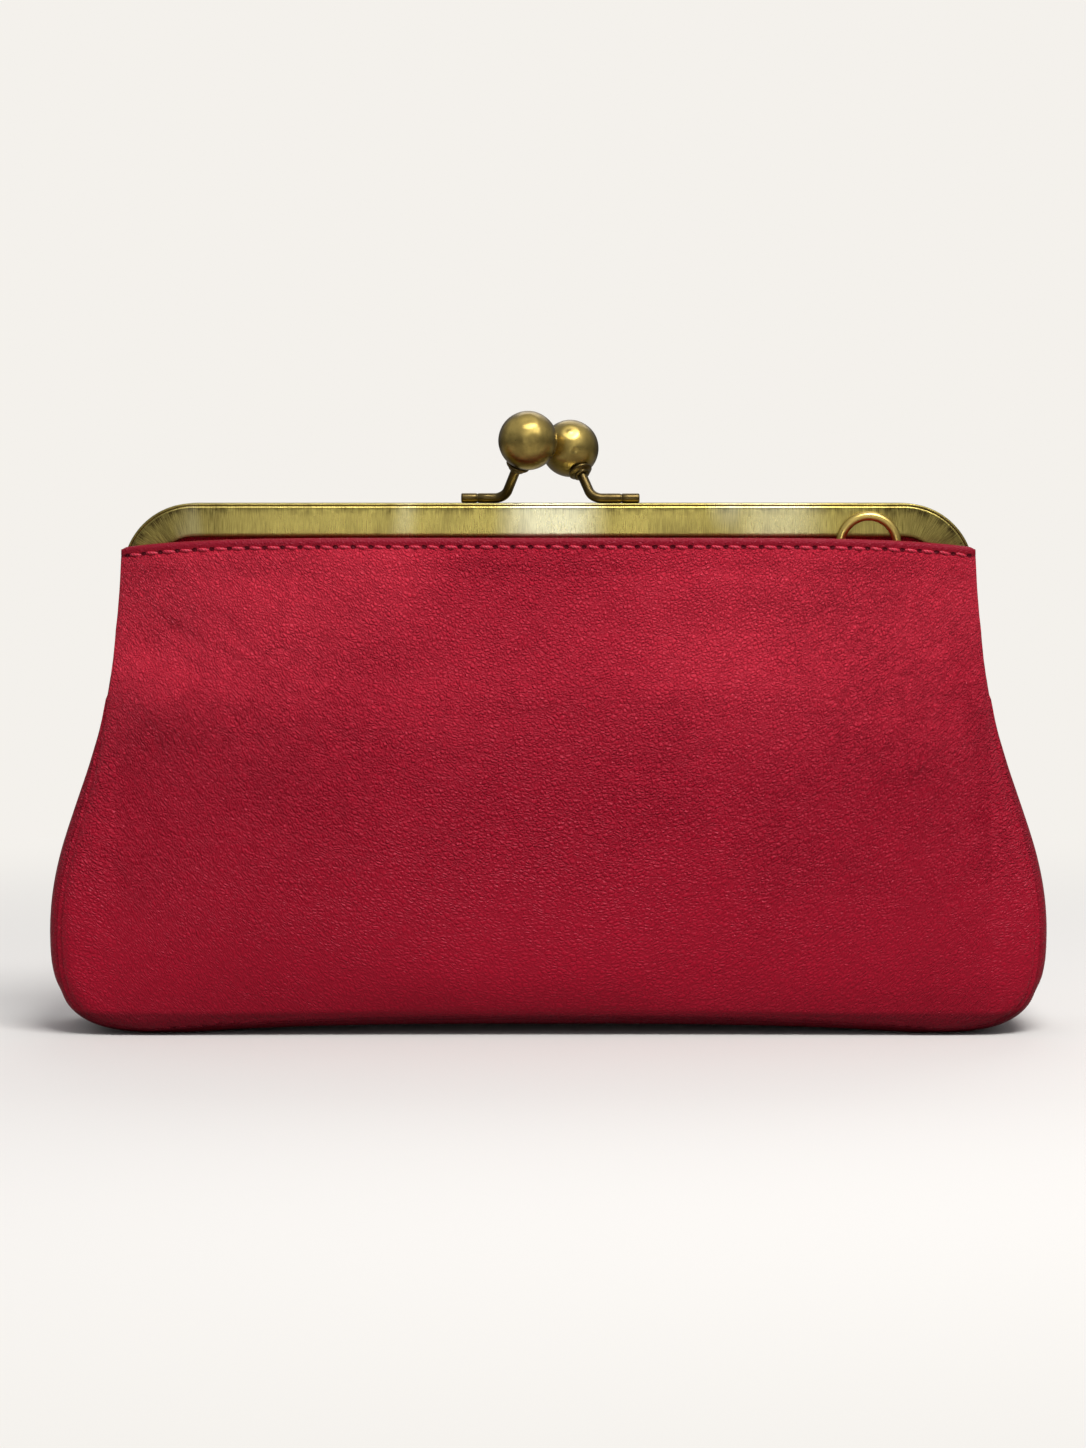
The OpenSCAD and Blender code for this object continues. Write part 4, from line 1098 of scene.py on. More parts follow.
def strip_grid(inwards, depth_less, top_z, rows, step, folds=0.0, pinch=0.0):
    """The side strip as a grid: rows across its depth, columns from one top, under the base, to the other."""
    foot = np.linspace(0, HALF_FOOT, int(HALF_FOOT / step) + 1)[:-1]
    end = run_at(top_z)
    side = np.linspace(0, end, int(end / step) + 1)
    rx, rz, nx, nz = rim(side)
    px = np.concatenate([foot, rx])
    pz = np.concatenate([arch(foot), rz])
    ix = np.concatenate([0 * foot, nx])
    iz = np.concatenate([np.ones(len(foot)), nz])
    run = np.concatenate([foot - HALF_FOOT, side])
    t = np.asarray(rows)[:, None]
    swell = 0.35 * np.maximum(0, (np.abs(t) - 0.6) / 0.4) ** 2
    swell = swell + 0.65 * np.maximum(0, (np.abs(t) - 0.88) / 0.12) ** 2
    inset = (inset_at(pz) + 0.75 * ease((pz - 44) / 22))[None, :] * swell
    inset = inset + pinch * bell(run - run_at(8.6), 2.0)[None, :] * (0.35 + 0.65 * swell)
    # The strip folds inwards between its seams as it narrows towards the hinges
    fold = folds * ease((pz - 30) / 42)[None, :] * (1 - np.minimum(1, np.abs(t) / 0.85) ** 1.6)
    ripple = 0.0
    if folds:
        ripple = waves(61, run[None, :] + 3 * t, 8 * t, 16, 6, 15, 0.13) * ease((pz - 38) / 30)[None, :]
        slow = waves(62, run[None, :], 14 * t, 10, 22, 50, 0.12) * (1 - t**2) * ease((pz - 6) / 10)[None, :]
        ripple = ripple * (1 - np.abs(t) ** 4) + slow
    bulge = -0.75 * (1 - t**4) * (ease((pz - 4) / 12) * ease((66 - pz) / 30))[None, :]
    move = inset + fold + ripple + bulge + inwards(px, pz)[None, :]
    depth = seam_depth(pz)[None, :] - depth_less
    x = px[None, :] + ix[None, :] * move
    z = pz[None, :] + iz[None, :] * move
    y = t * depth
    right = np.stack([x, y, z], -1)
    left = right[:, ::-1].copy()
    left[..., 0] *= -1
    return np.concatenate([left[:, :-1], right], axis=1)


# Sizes and colours that a user would change
LENGTH = {"subtype": "DISTANCE", "unit": "LENGTH"}
FACTOR = {"min": 0.0, "max": 2.0, "subtype": "FACTOR"}
COLOUR = {"min": 0, "max": 1, "size": 3, "subtype": "COLOR"}


class PurseLeather(bpy.types.PropertyGroup):
    thickness: FloatProperty(
        name="Thickness", description="Thickness of the leather", default=LEATHER * MM, min=0.0008,
        max=0.0013, **LENGTH
    )
    lining: FloatProperty(
        name="Lining", description="Thickness of the lining cloth", default=0.4 * MM, min=0.0003, max=0.0006,
        **LENGTH
    )
    grain: FloatProperty(name="Grain", description="Strength of the pebbled grain", default=1.0, **FACTOR)
    creases: FloatProperty(name="Creases", description="Strength of the fine creases", default=1.0, **FACTOR)
    colour: FloatVectorProperty(
        name="Colour", description="Colour of the grain side", default=(0.415, 0.0038, 0.022), **COLOUR
    )
    flesh_colour: FloatVectorProperty(
        name="Flesh side", description="Colour of the inner side of the leather",
        default=(0.16, 0.012, 0.022), **COLOUR
    )
    lining_colour: FloatVectorProperty(
        name="Lining colour", description="Colour of the lining cloth", default=(0.085, 0.006, 0.010),
        **COLOUR
    )


class PurseMetal(bpy.types.PropertyGroup):
    brushing: FloatProperty(
        name="Brushing", description="Depth of the brush marks on the frame", default=1.0, **FACTOR
    )
    bead: FloatProperty(
        name="Rim", description="Radius of the rolled rim along the frame's top", default=0.30 * MM,
        min=0.0002, max=0.0006, **LENGTH
    )
    brass: FloatVectorProperty(
        name="Frame", description="Colour of the frame's brass", default=(0.52, 0.42, 0.115), **COLOUR
    )
    ball: FloatVectorProperty(
        name="Balls", description="Colour of the lock's balls", default=(0.62, 0.45, 0.125), **COLOUR
    )
    fittings: FloatVectorProperty(
        name="Fittings", description="Colour of stems, collars and rivets", default=(0.14, 0.098, 0.035),
        **COLOUR
    )
    tarnish: FloatVectorProperty(
        name="Tarnish", description="Colour of the tarnish in the brass", default=(0.065, 0.043, 0.015),
        **COLOUR
    )


class PurseStitches(bpy.types.PropertyGroup):
    pitch: FloatProperty(
        name="Pitch", description="Distance from one stitch to the next", default=3.6 * MM, min=0.003,
        max=0.005, **LENGTH
    )
    length: FloatProperty(
        name="Length", description="Visible length of a stitch", default=2.7 * MM, min=0.0018, max=0.0029,
        **LENGTH
    )
    thread: FloatProperty(
        name="Thread", description="Thickness of the thread", default=0.67 * MM, min=0.0003, max=0.0008,
        **LENGTH
    )
    count: IntProperty(
        name="Count", description="Number of stitches along the hem", default=48, min=10, max=60
    )
    slant: FloatProperty(
        name="Slant", description="How far each stitch leans from the line", default=math.radians(7), min=0.0,
        max=0.5, subtype="ANGLE", unit="ROTATION"
    )
    colour: FloatVectorProperty(
        name="Colour", description="Colour of the thread", default=(0.68, 0.016, 0.055), **COLOUR
    )


class PurseStage(bpy.types.PropertyGroup):
    background: FloatVectorProperty(
        name="Background", description="Colour behind the purse", default=(0.905, 0.879, 0.838), **COLOUR
    )
    floor: FloatVectorProperty(
        name="Floor", description="Colour of the floor", default=(0.745, 0.722, 0.688), **COLOUR
    )
    lens: FloatProperty(name="Lens", description="Focal length in millimetres", default=97.2, min=30, max=200)
    distance: FloatProperty(
        name="Distance", description="Distance of the camera", default=0.8, min=0.3, max=3.0, **LENGTH
    )
    height: FloatProperty(
        name="Height", description="Height of the camera", default=0.118, min=0.0, max=1.0, **LENGTH
    )
    key: FloatProperty(
        name="Key light", description="Power of the large soft light in watts", default=8.0, min=0.0,
        max=100.0
    )
    card: FloatProperty(
        name="Front card", description="Power of the dim card beside the camera in watts", default=0.5,
        min=0.0, max=10.0
    )
    back: FloatProperty(
        name="Back light", description="Power of the soft light behind in watts", default=2.2, min=0.0,
        max=100.0
    )
    room: FloatProperty(
        name="Room light", description="Brightness of the room overhead", default=0.5, min=0.0, max=2.0
    )


# Operators
class PURSE_OT_frame_halves(bpy.types.Operator):
    """Sweep the brass channel of both halves, with its rolled rim, and add the hinge ears"""

    bl_idname = "purse.frame_halves"
    bl_label = "Frame halves"

    def execute(self, context):
        bead = context.scene.purse_metal.bead / MM
        for name, side, ear_x in (
            ("front_rail", -1, HALF_FRAME), ("back_rail", 1, HALF_FRAME - RAIL_WALL - 0.1)
        ):
            obj = make_mesh(name, *joined([self.channel(side, bead)] + self.ears(side, ear_x)))
            obj.data.materials.append(brushed_brass(context.scene))
            half = "front" if side < 0 else "back"
            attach(obj, half + "_half")
            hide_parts(half + "_frame")
        return {"FINISHED"}

    def path(self):
        """Points on the outer edge of the frame from the left leg to the right, with outward directions."""
        leg = [(HALF_FRAME, z, 1, 0) for z in np.linspace(LEG_END_Z, CORNER_Z, 6)[:-1]]
        ways = [(math.cos(a), math.sin(a)) for a in np.radians(np.linspace(0, 90, 25))]
        bend = [(CORNER_X + CORNER_R * c, CORNER_Z + CORNER_R * s, c, s) for c, s in ways]
        top = [(x, FRAME_TOP, 0, 1) for x in np.linspace(-CORNER_X, CORNER_X, 61)[1:-1]]
        right = np.array(leg + bend)
        steps = np.concatenate([right * (-1, 1, -1, 1), top, right[::-1]])
        return steps[:, :2], steps[:, 2:]

    def section(self, bead):
        """The channel's outline as (distance in from the outer edge, depth)."""
        face, low, wide = RAIL_OUT, RAIL_H, 2 * bead
        out = [(low, face - 0.42), (low - 0.03, face - 0.2), (low - 0.12, face - 0.06), (low - 0.3, face)]
        out += [(a, face) for a in (6.0, 5.0, 4.0, 3.0, 2.0)]
        # The rolled rim, with the groove beside it
        out += [
            (wide + 0.42, face), (wide + 0.24, face - 0.03), (wide + 0.13, face - 0.12),
            (wide + 0.03, face - 0.15)
        ]
        for a in np.radians(np.arange(20, 181, 20)):
            out.append((bead + bead * math.cos(a), face - bead + 0.05 + bead * math.sin(a)))
        out += [
            (0.0, face - 0.9), (0.02, 4.0), (0.0, 2.8), (0.02, 1.5), (0.03, RAIL_IN + 0.5),
            (0.12, RAIL_IN + 0.2), (0.3, RAIL_IN + 0.05), (0.5, RAIL_IN)
        ]
        out += [(a, RAIL_IN) for a in (2.0, 4.0, 6.0, low - 0.2)]
        out += [
            (low - 0.04, RAIL_IN + 0.12), (low, RAIL_IN + 0.4), (low - 0.06, RAIL_IN + 0.7),
            (low - 0.25, RAIL_IN + RAIL_WALL)
        ]
        inner, outer = RAIL_IN + RAIL_WALL, RAIL_OUT - RAIL_WALL
        out += [
            (4.0, inner), (1.4, inner), (1.0, inner + 0.1), (0.82, inner + 0.35), (0.8, 2.8),
            (0.82, outer - 0.35), (1.0, outer - 0.1), (1.4, outer), (4.0, outer), (low - 0.3, outer),
            (low - 0.08, outer + 0.08)
        ]
        return np.array(out)

    def channel(self, side, bead):
        places, ways = self.path()
        section = self.section(bead)
        run = lengths_along(places)
        x = places[:, 0][:, None] - ways[:, 0][:, None] * section[:, 0]
        z = places[:, 1][:, None] - ways[:, 1][:, None] * section[:, 0]
        y = side * np.broadcast_to(section[:, 1], x.shape)
        points = np.stack([x, y, z], -1)
        rows, cols = points.shape[:2]
        quads, corners = grid_faces(rows, cols, wrap_cols=True)
        # Pattern positions: along the frame, and down the face from the outer edge
        down = np.concatenate([-section[:, 0], [-section[0, 0]]])
        turn = lengths_along(section)
        last = int(np.argmin(section[:, 0]))
        down = np.where(np.arange(len(down)) <= last, down, np.append(turn, turn[-1] + 0.3) - turn[last])
        uvs = cell_uvs(corners, lambda r, c: [run[r], down[c]])
        faces = [list(q) for q in quads]
        inner_start = next(i for i in range(last + 1, cols) if section[i, 0] == 4.0 and section[i, 1] > 1)
        for row, way in ((0, 1), (rows - 1, -1)):
            for q in self.end_faces(cols, inner_start):
                faces.append([row * cols + k for k in q][::way])
                uvs.append([[float(run[row]), 0.0]] * len(q))
        if side < 0:
            faces, uvs = flipped(faces, uvs)
        return points.reshape(-1, 3), faces, uvs

    def end_faces(self, size, inner_start):
        """Triangles that close a U-shaped end between its outer and inner outlines."""
        outer = list(range(0, inner_start))
        inner = list(range(size - 1, inner_start - 1, -1))
        faces, i, j = [], 0, 0
        while i < len(outer) - 1 or j < len(inner) - 1:
            if j == len(inner) - 1 or (i < len(outer) - 1 and (i + 1) / len(outer) <= (j + 1) / len(inner)):
                faces.append([outer[i], outer[i + 1], inner[j]])
                i += 1
            else:
                faces.append([outer[i], inner[j + 1], inner[j]])
                j += 1
        return faces

    def ears(self, side, ear_x):
        """The flat ears that the rivets pass through, with softened edges."""
        round_r, hole_r, neck_z, soft = 3.5, 1.25, 6.05, 0.14
        turn = [(round_r * math.cos(a), round_r * math.sin(a)) for a in np.radians(np.linspace(62, -165, 26))]
        shoulder = (-round_r * math.cos(math.radians(8)), 1.0)
        shape = np.array([(-RAIL_OUT, neck_z), (-RAIL_IN, neck_z)] + turn + [shoulder])
        away = unit(shape)
        face, back = ear_x, ear_x - RAIL_WALL
        # Rings from the hole's back edge, over the ear's rim, to the hole's front edge
        rings = [
            (back, hole_r * away), (back, shape - away * soft), (back + soft, shape), (face - soft, shape)
        ]
        rings += [(face, shape - away * soft), (face, hole_r * away)]
        parts = []
        for sign in (-1, 1):
            points = np.stack(
                [
                    np.stack([np.full(len(p), sign * x), -side * p[:, 0], HINGE_Z + p[:, 1]], -1) for x,
                    p in rings
                ]
            )
            quads, _ = grid_faces(len(rings), len(shape), wrap_rows=True, wrap_cols=True)
            flat = points.reshape(-1, 3)
            faces, uvs = [list(q) for q in quads], side_uvs(flat, quads)
            if sign * side > 0:
                faces, uvs = flipped(faces, uvs)
            parts.append((flat, faces, uvs))
            if side > 0:
                parts.append(self.joggle(sign, ear_x))
        return parts

    def joggle(self, sign, ear_x):
        """The short step that carries a back ear inwards of the front one."""
        x0, x1 = ear_x - RAIL_WALL, HALF_FRAME - 0.02
        y0, y1, z0, z1 = RAIL_IN + 0.02, RAIL_OUT - 0.02, LEG_END_Z - RAIL_WALL, LEG_END_Z + 0.06
        soft = 0.15
        rings = []
        for x, k in ((x0, soft), (x0 + soft, 0), (x1 - soft, 0), (x1, soft)):
            box = ((y0 + k, z0 + k), (y1 - k, z0 + k), (y1 - k, z1 - k), (y0 + k, z1 - k))
            rings.append([(sign * x, y, z) for y, z in box])
        points = np.array(rings, float)
        quads, _ = grid_faces(4, 4, wrap_cols=True)
        faces = [list(q) for q in quads] + [[0, 1, 2, 3][::-1], [12, 13, 14, 15]]
        if sign < 0:
            faces = [f[::-1] for f in faces]
        flat = points.reshape(-1, 3)
        return flat, faces, side_uvs(flat, faces)


class PURSE_OT_hinge_rivets(bpy.types.Operator):
    """Set a turned rivet through the ears at each side"""

    bl_idname = "purse.hinge_rivets"
    bl_label = "Hinge rivets"

    def execute(self, context):
        ear_in = HALF_FRAME - 2 * RAIL_WALL - 0.2
        inner = [(0.35, -0.7), (1.0, -0.68), (1.55, -0.55), (1.8, -0.3), (1.8, -0.02), (1.2, 0.0)]
        length = HALF_FRAME + 0.1 - ear_in
        dome = [
            (1.2, length), (2.25, length + 0.01), (2.3, length + 0.16), (2.15, length + 0.4),
            (1.7, length + 0.6), (1.0, length + 0.69), (0.35, length + 0.7)
        ]
        master = make_mesh("rivet_shape", *turned_mesh(inner + dome, 36, np.zeros(3), (1, 0, 0), (0, 0, 1)))
        places = [np.array([[sign * ear_in, 0, HINGE_Z]]) for sign in (-1, 1)]
        spots = line_object("rivet_places", places, [np.array([[sign, 0.0, 0.0]]) for sign in (-1, 1)])
        obj = baked(
            "hinge_rivets", spots, rivet_tree(), {"Rivet": master, "Material": dark_brass(context.scene)}
        )
        bpy.data.objects.remove(master)
        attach(obj, "body")
        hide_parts("hinge_rivet_left", "hinge_rivet_right")
        return {"FINISHED"}


class PURSE_OT_kiss_lock(bpy.types.Operator):
    """Make the two crossed balls with their collars and bent stems"""

    bl_idname = "purse.kiss_lock"
    bl_label = "Kiss lock"

    def execute(self, context):
        rail_mid = (RAIL_IN + RAIL_OUT) / 2
        # The half that each ball stands on, its middle, its size, and which way its foot points
        locks = (
            ("back", np.array([-4.2, -4.05, FRAME_TOP + 12.8]), 12.1, -1, rail_mid),
            ("front", np.array([4.5, 4.05, FRAME_TOP + 11.2]), 11.8, 1, -rail_mid),
        )
        for half, centre, size, way, foot_y in locks:
            elbow = np.array([way * 9.0, foot_y, FRAME_TOP + 1.0])
            foot = elbow + np.array([way * (9.0 if way < 0 else 9.7), 0, 0])
            arm = unit(centre - elbow)
            shapes = (
                ("stem", self.stem(foot, elbow, centre, arm, size), dark_brass),
                ("collar", self.collar(centre, arm, size), dark_brass),
                ("ball", self.ball(half, centre, size), ball_brass),
            )
            for key, shape, finish in shapes:
                obj = make_mesh(f"lock_{key}_on_{half}", *shape)
                obj.data.materials.append(finish(context.scene))
                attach(obj, half + "_half")
                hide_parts(f"{half}_lock_{key}")
        return {"FINISHED"}

    def stem(self, foot, elbow, centre, arm, size):
        """A wire with a rounded foot along the frame, one bend, and an end inside the collar."""
        back = unit(foot - elbow)
        angle = math.acos(float(np.clip(-(back @ arm), -1, 1)))
        bend_r = 2.8
        cut = bend_r * math.tan(angle / 2)
        start, end = elbow + back * cut, elbow + arm * cut
        hub = elbow + unit(back + arm) * (bend_r / math.cos(angle / 2))
        # Shares of the foot's length with the wire's radius there: a rounded end, and a groove at the middle
        foot_steps = (
            (0, 0.55), (0.004, 0.78), (0.014, 0.92), (0.03, 0.98), (0.06, 1.0), (0.3, 1.0), (0.44, 1.0),
            (0.46, 0.93), (0.48, 0.86), (0.5, 0.93), (0.52, 1.0), (0.75, 1.0), (0.95, 1.0)
        )
        path = [foot + (start - foot) * t for t, _ in foot_steps]
        radius = [r for _, r in foot_steps]
        a, b = start - hub, end - hub
        for t in np.linspace(0, 1, 18):
            v = (math.sin((1 - t) * angle) * a + math.sin(t * angle) * b) / math.sin(angle)
            path.append(hub + v)
            radius.append(1.0 + 0.03 * math.sin(math.pi * t))
        top = centre - arm * (size / 2 - 1.6)
        for t in (0.08, 0.3, 0.55, 0.8, 1.0):
            path.append(end + (top - end) * t)
            radius.append(0.99)
        return swept_mesh(path, radius, 28, unit(np.cross(back, arm)))

    def collar(self, centre, arm, size):
        """A small cup that the ball sits in, with a rolled lip and a ring below it."""
        side = unit(np.cross(arm, (0, 1, 0)))
        base = centre - arm * (size / 2 + 1.35)
        profile = [
            (1.03, 0.0), (1.38, 0.02), (1.52, 0.16), (1.5, 0.34), (1.36, 0.46), (1.42, 0.6), (1.75, 0.72),
            (2.1, 0.86), (2.24, 1.06), (2.26, 1.3), (2.16, 1.5), (1.98, 1.6), (1.8, 1.55), (1.4, 1.5),
            (1.03, 1.45)
        ]
        # The outside is a tenth wider than drawn, and the bore stays
        widened = [(1.1 * r if r > 1.1 else r, h) for r, h in profile]
        return turned_mesh(widened, 40, base, arm, side)

    def ball(self, half, centre, size):
        """A hollow ball's thin shell with the small knocks that it has taken."""
        rows, cols, r = 72, 112, size / 2
        tilt = np.linspace(0, math.pi, rows + 1)[1:-1]
        turn = np.arange(cols) * 2 * math.pi / cols
        way = np.stack([
            np.sin(tilt)[:, None] * np.cos(turn), np.sin(tilt)[:, None] * np.sin(turn),
            np.broadcast_to(np.cos(tilt)[:, None], (rows - 1, cols)),
        ], -1)
        # Dents as (x, z on the front, radius, depth, ring)
        if half == "back":
            dents = [
                (-0.1, 4.1, 1.2, 0.13, 0), (0.55, 1.5, 1.3, 0.12, 0), (-2.6, 2.2, 1.8, 0.10, 0),
                (1.1, -0.7, 1.3, 0.12, 0)
            ]
        else:
            dents = [
                (-0.1, 3.5, 1.1, 0.15, 1), (0.9, -0.5, 0.45, 0.2, 0), (1.6, -1.7, 1.4, 0.1, 0),
                (-2.0, 0.6, 1.6, 0.08, 0)
            ]
        radius = np.full((rows - 1, cols), r)
        radius += 0.02 * np.sin(way[..., 0] * 5 + 1) * np.sin(way[..., 2] * 6 + 2)
        for x, z, wide, deep, ring in dents:
            at = np.array([x, -math.sqrt(max(0.1, r * r - x * x - z * z)), z]) / r
            gap = np.arccos(np.clip(way @ at, -1, 1)) * r
            radius -= deep * (bell(gap, wide) - 0.35 * bell(gap - 1.7 * wide, 0.5 * wide))
            if ring:
                radius += 0.9 * deep * bell(gap, 0.5 * wide)
        points = (way * radius[..., None] + centre).reshape(-1, 3)
        quads, corners = grid_faces(rows - 1, cols, wrap_cols=True)
        uvs = cell_uvs(corners, lambda row, col: [col / cols * 38, row / rows * 19])
        faces, uvs = flipped([list(q) for q in quads], uvs)
        poles = np.array([centre + [0, 0, r], centre - [0, 0, r]])
        n = len(points)
        for c in range(cols):
            faces.append([n, c, (c + 1) % cols])
            faces.append([n + 1, (rows - 2) * cols + (c + 1) % cols, (rows - 2) * cols + c])
            uvs += [[[c / cols * 38, 0.0], [c / cols * 38, 0.3], [(c + 1) / cols * 38, 0.3]]] * 2
        return np.concatenate([points, poles]), faces, uvs


class PURSE_OT_ring(bpy.types.Operator):
    """Bend the wire ring that hangs in the tab"""

    bl_idname = "purse.ring"
    bl_label = "Ring"

    def execute(self, context):
        low, top = (np.array(p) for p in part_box("d_ring"))
        wire = RING_WIRE * MM
        source = line_object("ring_source", [np.zeros((2, 3))], [np.zeros((2, 3))])
        obj = baked(
            "ring_wire", source, ring_tree(),
            {
                "Width": float(top[0] - low[0]), "Height": float(top[2] - low[2]),
                "Wire Thickness": 1.08 * wire, "Material": ring_brass(context.scene)
            }
        )
        place = ((low[0] + top[0]) / 2, (low[1] + top[1]) / 2, low[2] + wire / 2)
        # The tree makes the ring at the origin; its points are moved to where it hangs
        co = np.zeros(len(obj.data.vertices) * 3, np.float32)
        obj.data.vertices.foreach_get("co", co)
        obj.data.vertices.foreach_set("co", (co.reshape(-1, 3) + np.array(place, np.float32)).ravel())
        obj.data.update()
        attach(obj, "ring")
        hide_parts("d_ring")
        return {"FINISHED"}


class PURSE_OT_ring_tab(bpy.types.Operator):
    """Wrap the leather tab round the ring's bar and stitch it"""

    bl_idname = "purse.ring_tab"
    bl_label = "Ring tab"

    def execute(self, context):
        low, top = (np.array(p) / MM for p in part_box("ring_tab"))
        ring_low, ring_top = (np.array(p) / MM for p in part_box("d_ring"))
        bar_y, bar_z = (ring_low[1] + ring_top[1]) / 2, ring_low[2] + RING_WIRE / 2
        hole, ply, length = 0.93, 0.8, 12.0
        x0, x1 = low[0], top[0]
        ring_x = 65.4
        bows = [up_bow(np.array(ring_x), np.array(z), FRONT_FOLD) for z in (bar_z - length, bar_z)]
        slope = math.atan2(float(bows[0] - bows[1]), length)
        # The strap's middle line: up the back, over the bar and down the front of itself
        middle = hole + ply / 2
        down = [(middle, -t) for t in np.linspace(length, 0.0, 16)]
        loop = [(middle * math.cos(a), middle * math.sin(a)) for a in np.radians(np.arange(8, 212, 8))]
        line = down + loop + [(0.0, -1.75), (middle - ply - 0.03, -2.5)]
        line += [(middle - ply - 0.03, -t) for t in np.linspace(3.2, length - 0.35, 13)]
        line = np.array(line)
        ahead = unit(np.gradient(line, axis=0))
        normal = np.stack([-ahead[:, 1], ahead[:, 0]], -1)
        edge = np.array([0.0, 0.12, 0.35, 0.7])
        across = np.concatenate([x0 + edge, np.linspace(x0 + 1.2, x1 - 1.2, 7), x1 - edge[::-1]])
        from_edge = np.minimum(across - x0, x1 - across)
        half = (ply / 2) * np.sqrt(np.maximum(0.02, 1 - (1 - clamp(from_edge / 0.35)) ** 2))
        ends = np.arange(len(line))
        taper = clamp(0.35 + np.minimum(ends, ends[::-1]) * 0.4, 0, 1)
        cos, sin = math.cos(slope), math.sin(slope)
        grids = []
        for way in (1, -1):
            a = line[:, None, 0] + way * normal[:, None, 0] * half[None] * taper[:, None]
            b = line[:, None, 1] + way * normal[:, None, 1] * half[None] * taper[:, None]
            y = bar_y + np.where(b < 0, a * cos + b * sin, a)
            z = bar_z + np.where(b < 0, b * cos, b)
            grids.append(np.stack([np.broadcast_to(across, a.shape), y, z], -1))
        obj = shell_object("ring_tab_leather", grids[0], grids[1], 1, [leather(context.scene)])
        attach(obj, "front_half")
        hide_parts("ring_tab")
        out = middle - 1.5 * ply - 0.02
        rows = [(bar_y + out * cos - down * sin, bar_z - down * cos) for down in (length - 2.0, length - 5.0)]
        self.stitches(context, np.linspace(x0 + 1.35, x1 - 1.35, 3), rows, (0.0, -cos, -sin))
        return {"FINISHED"}

    def stitches(self, context, xs, rows, facing):
        """Short rows of stitches across the tab, each at its (y, z)."""
        look = context.scene.purse_stitches
        lines = [np.stack([xs, np.full(3, y), np.full(3, z)], -1) for y, z in rows]
        source = line_object("tab_line", lines, [np.tile([facing], (3, 1))] * len(rows))
        obj = baked(
            "tab_stitches", source, stitch_tree(),
            {
                "Pitch": 2.6 * MM, "Stitch Length": 1.9 * MM, "Thread Thickness": look.thread * 0.9,
                "Slant": look.slant, "Seed": 4, "Material": red_thread(context.scene)
            }
        )
        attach(obj, "front_half")
        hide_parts("ring_tab_stitches")


class PURSE_OT_pocket(bpy.types.Operator):
    """Loft the pocket's leather from the bottom seam to its turned hem"""

    bl_idname = "purse.pocket"
    bl_label = "Pocket panel"

    def execute(self, context):
        scene = context.scene
        thick = scene.purse_leather.thickness / MM
        outer, inner, hem_rows = pocket_surface(thick)
        red = leather(scene, "hemmed_leather", holes=True)
        obj = shell_object(
            "pocket_leather", outer, inner, -1, [red, flesh_side(scene)], inner_red=hem_rows - 4
        )
        line, run = stitch_path()
        self.map_pattern(obj, outer, inner, line, run, scene.purse_stitches.pitch / MM)
        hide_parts("pocket_panel_upper", "pocket_panel_lower", "pocket_hem")
        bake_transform(obj)
        return {"FINISHED"}

    def map_pattern(self, obj, outer, inner, line, run, pitch):
        """A pattern map: stitches along the hem, and the distance down from the stitch line."""
        points = np.concatenate([outer, inner[::-1]])
        along = np.interp(points[..., 0], line[:, 0], run) / pitch
        down = points[..., 2] - np.interp(points[..., 0], line[:, 0], line[:, 2])
        down[outer.shape[0]:] = -40.0
        values = np.stack([along, down], -1).reshape(-1, 2).astype(np.float32)
        index = np.zeros(len(obj.data.loops), np.int32)
        obj.data.loops.foreach_get("vertex_index", index)
        layer = obj.data.uv_layers.new(name="Surface")
        layer.data.foreach_set("uv", values[index].ravel())


class PURSE_OT_hem_stitches(bpy.types.Operator):
    """Sew the row of stitches along the pocket's hem"""

    bl_idname = "purse.hem_stitches"
    bl_label = "Hem stitches"

    def execute(self, context):
        look = context.scene.purse_stitches
        line, run = stitch_path()
        pitch = look.pitch / MM
        reach = (look.count - 1) / 2 * pitch
        # The line stops a hair past the last stitch, so that rounding can't drop it
        at = np.linspace(-reach, reach + 0.02, 400)
        points = np.stack([np.interp(at, run, line[:, k]) for k in range(3)], -1)
        points[:, 1] -= 0.06
        ahead = np.gradient(points, axis=0)
        facing = np.cross(np.array([0.0, 0, 1.0]), ahead) * -1.0
        facing = unit(np.where(facing[:, 1:2] > 0, -facing, facing))
        source = line_object("hem_line", [points], [facing])
        obj = baked(
            "hem_stitches", source, stitch_tree(),
            {
                "Pitch": look.pitch, "Stitch Length": look.length, "Thread Thickness": look.thread,
                "Rise": 0.0003, "Slant": -look.slant, "Seed": 2, "Material": red_thread(context.scene)
            }
        )
        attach(obj, "front_half")
        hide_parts("pocket_hem_stitches")
        return {"FINISHED"}


class PURSE_OT_body_panels(bpy.types.Operator):
    """Loft the body's front and back leather from the bottom seams up into the channels"""

    bl_idname = "purse.body_panels"
    bl_label = "Body panels"

    def execute(self, context):
        scene = context.scene
        thick = scene.purse_leather.thickness / MM
        for half, side, columns, step, relief in (
            ("front", -1, 150, 1.4, front_gathers), ("back", 1, 214, 0.95, back_relief)
        ):
            widen = 1.05 if side < 0 else 1.2
            outer, inner = body_surface(side, thick, columns, step, widen=widen, relief=relief)
            obj = shell_object(f"{half}_leather", outer, inner, side, [leather(scene), flesh_side(scene)])
            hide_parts(f"{half}_panel_upper", f"{half}_panel_lower")
            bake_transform(obj)
        return {"FINISHED"}


def front_gathers(x, z, edge):
    """The front panel lies flat behind the pocket, with small gathers under the frame."""
    d = waves(71, x, z * 0.15, 14, 6, 14, 0.16) * ease((99.5 - z) / 4) * ease((z - 84) / 10)
    d += (
        1.3 * bell(x - 46, 10) + 0.9 * bell(x - 79, 5) + 0.6 * bell(x - 10, 22) - 0.8 * bell(x + 72, 9)
    ) * bell(z - 98.6, 2.2)
    return d * ease(edge / 6)


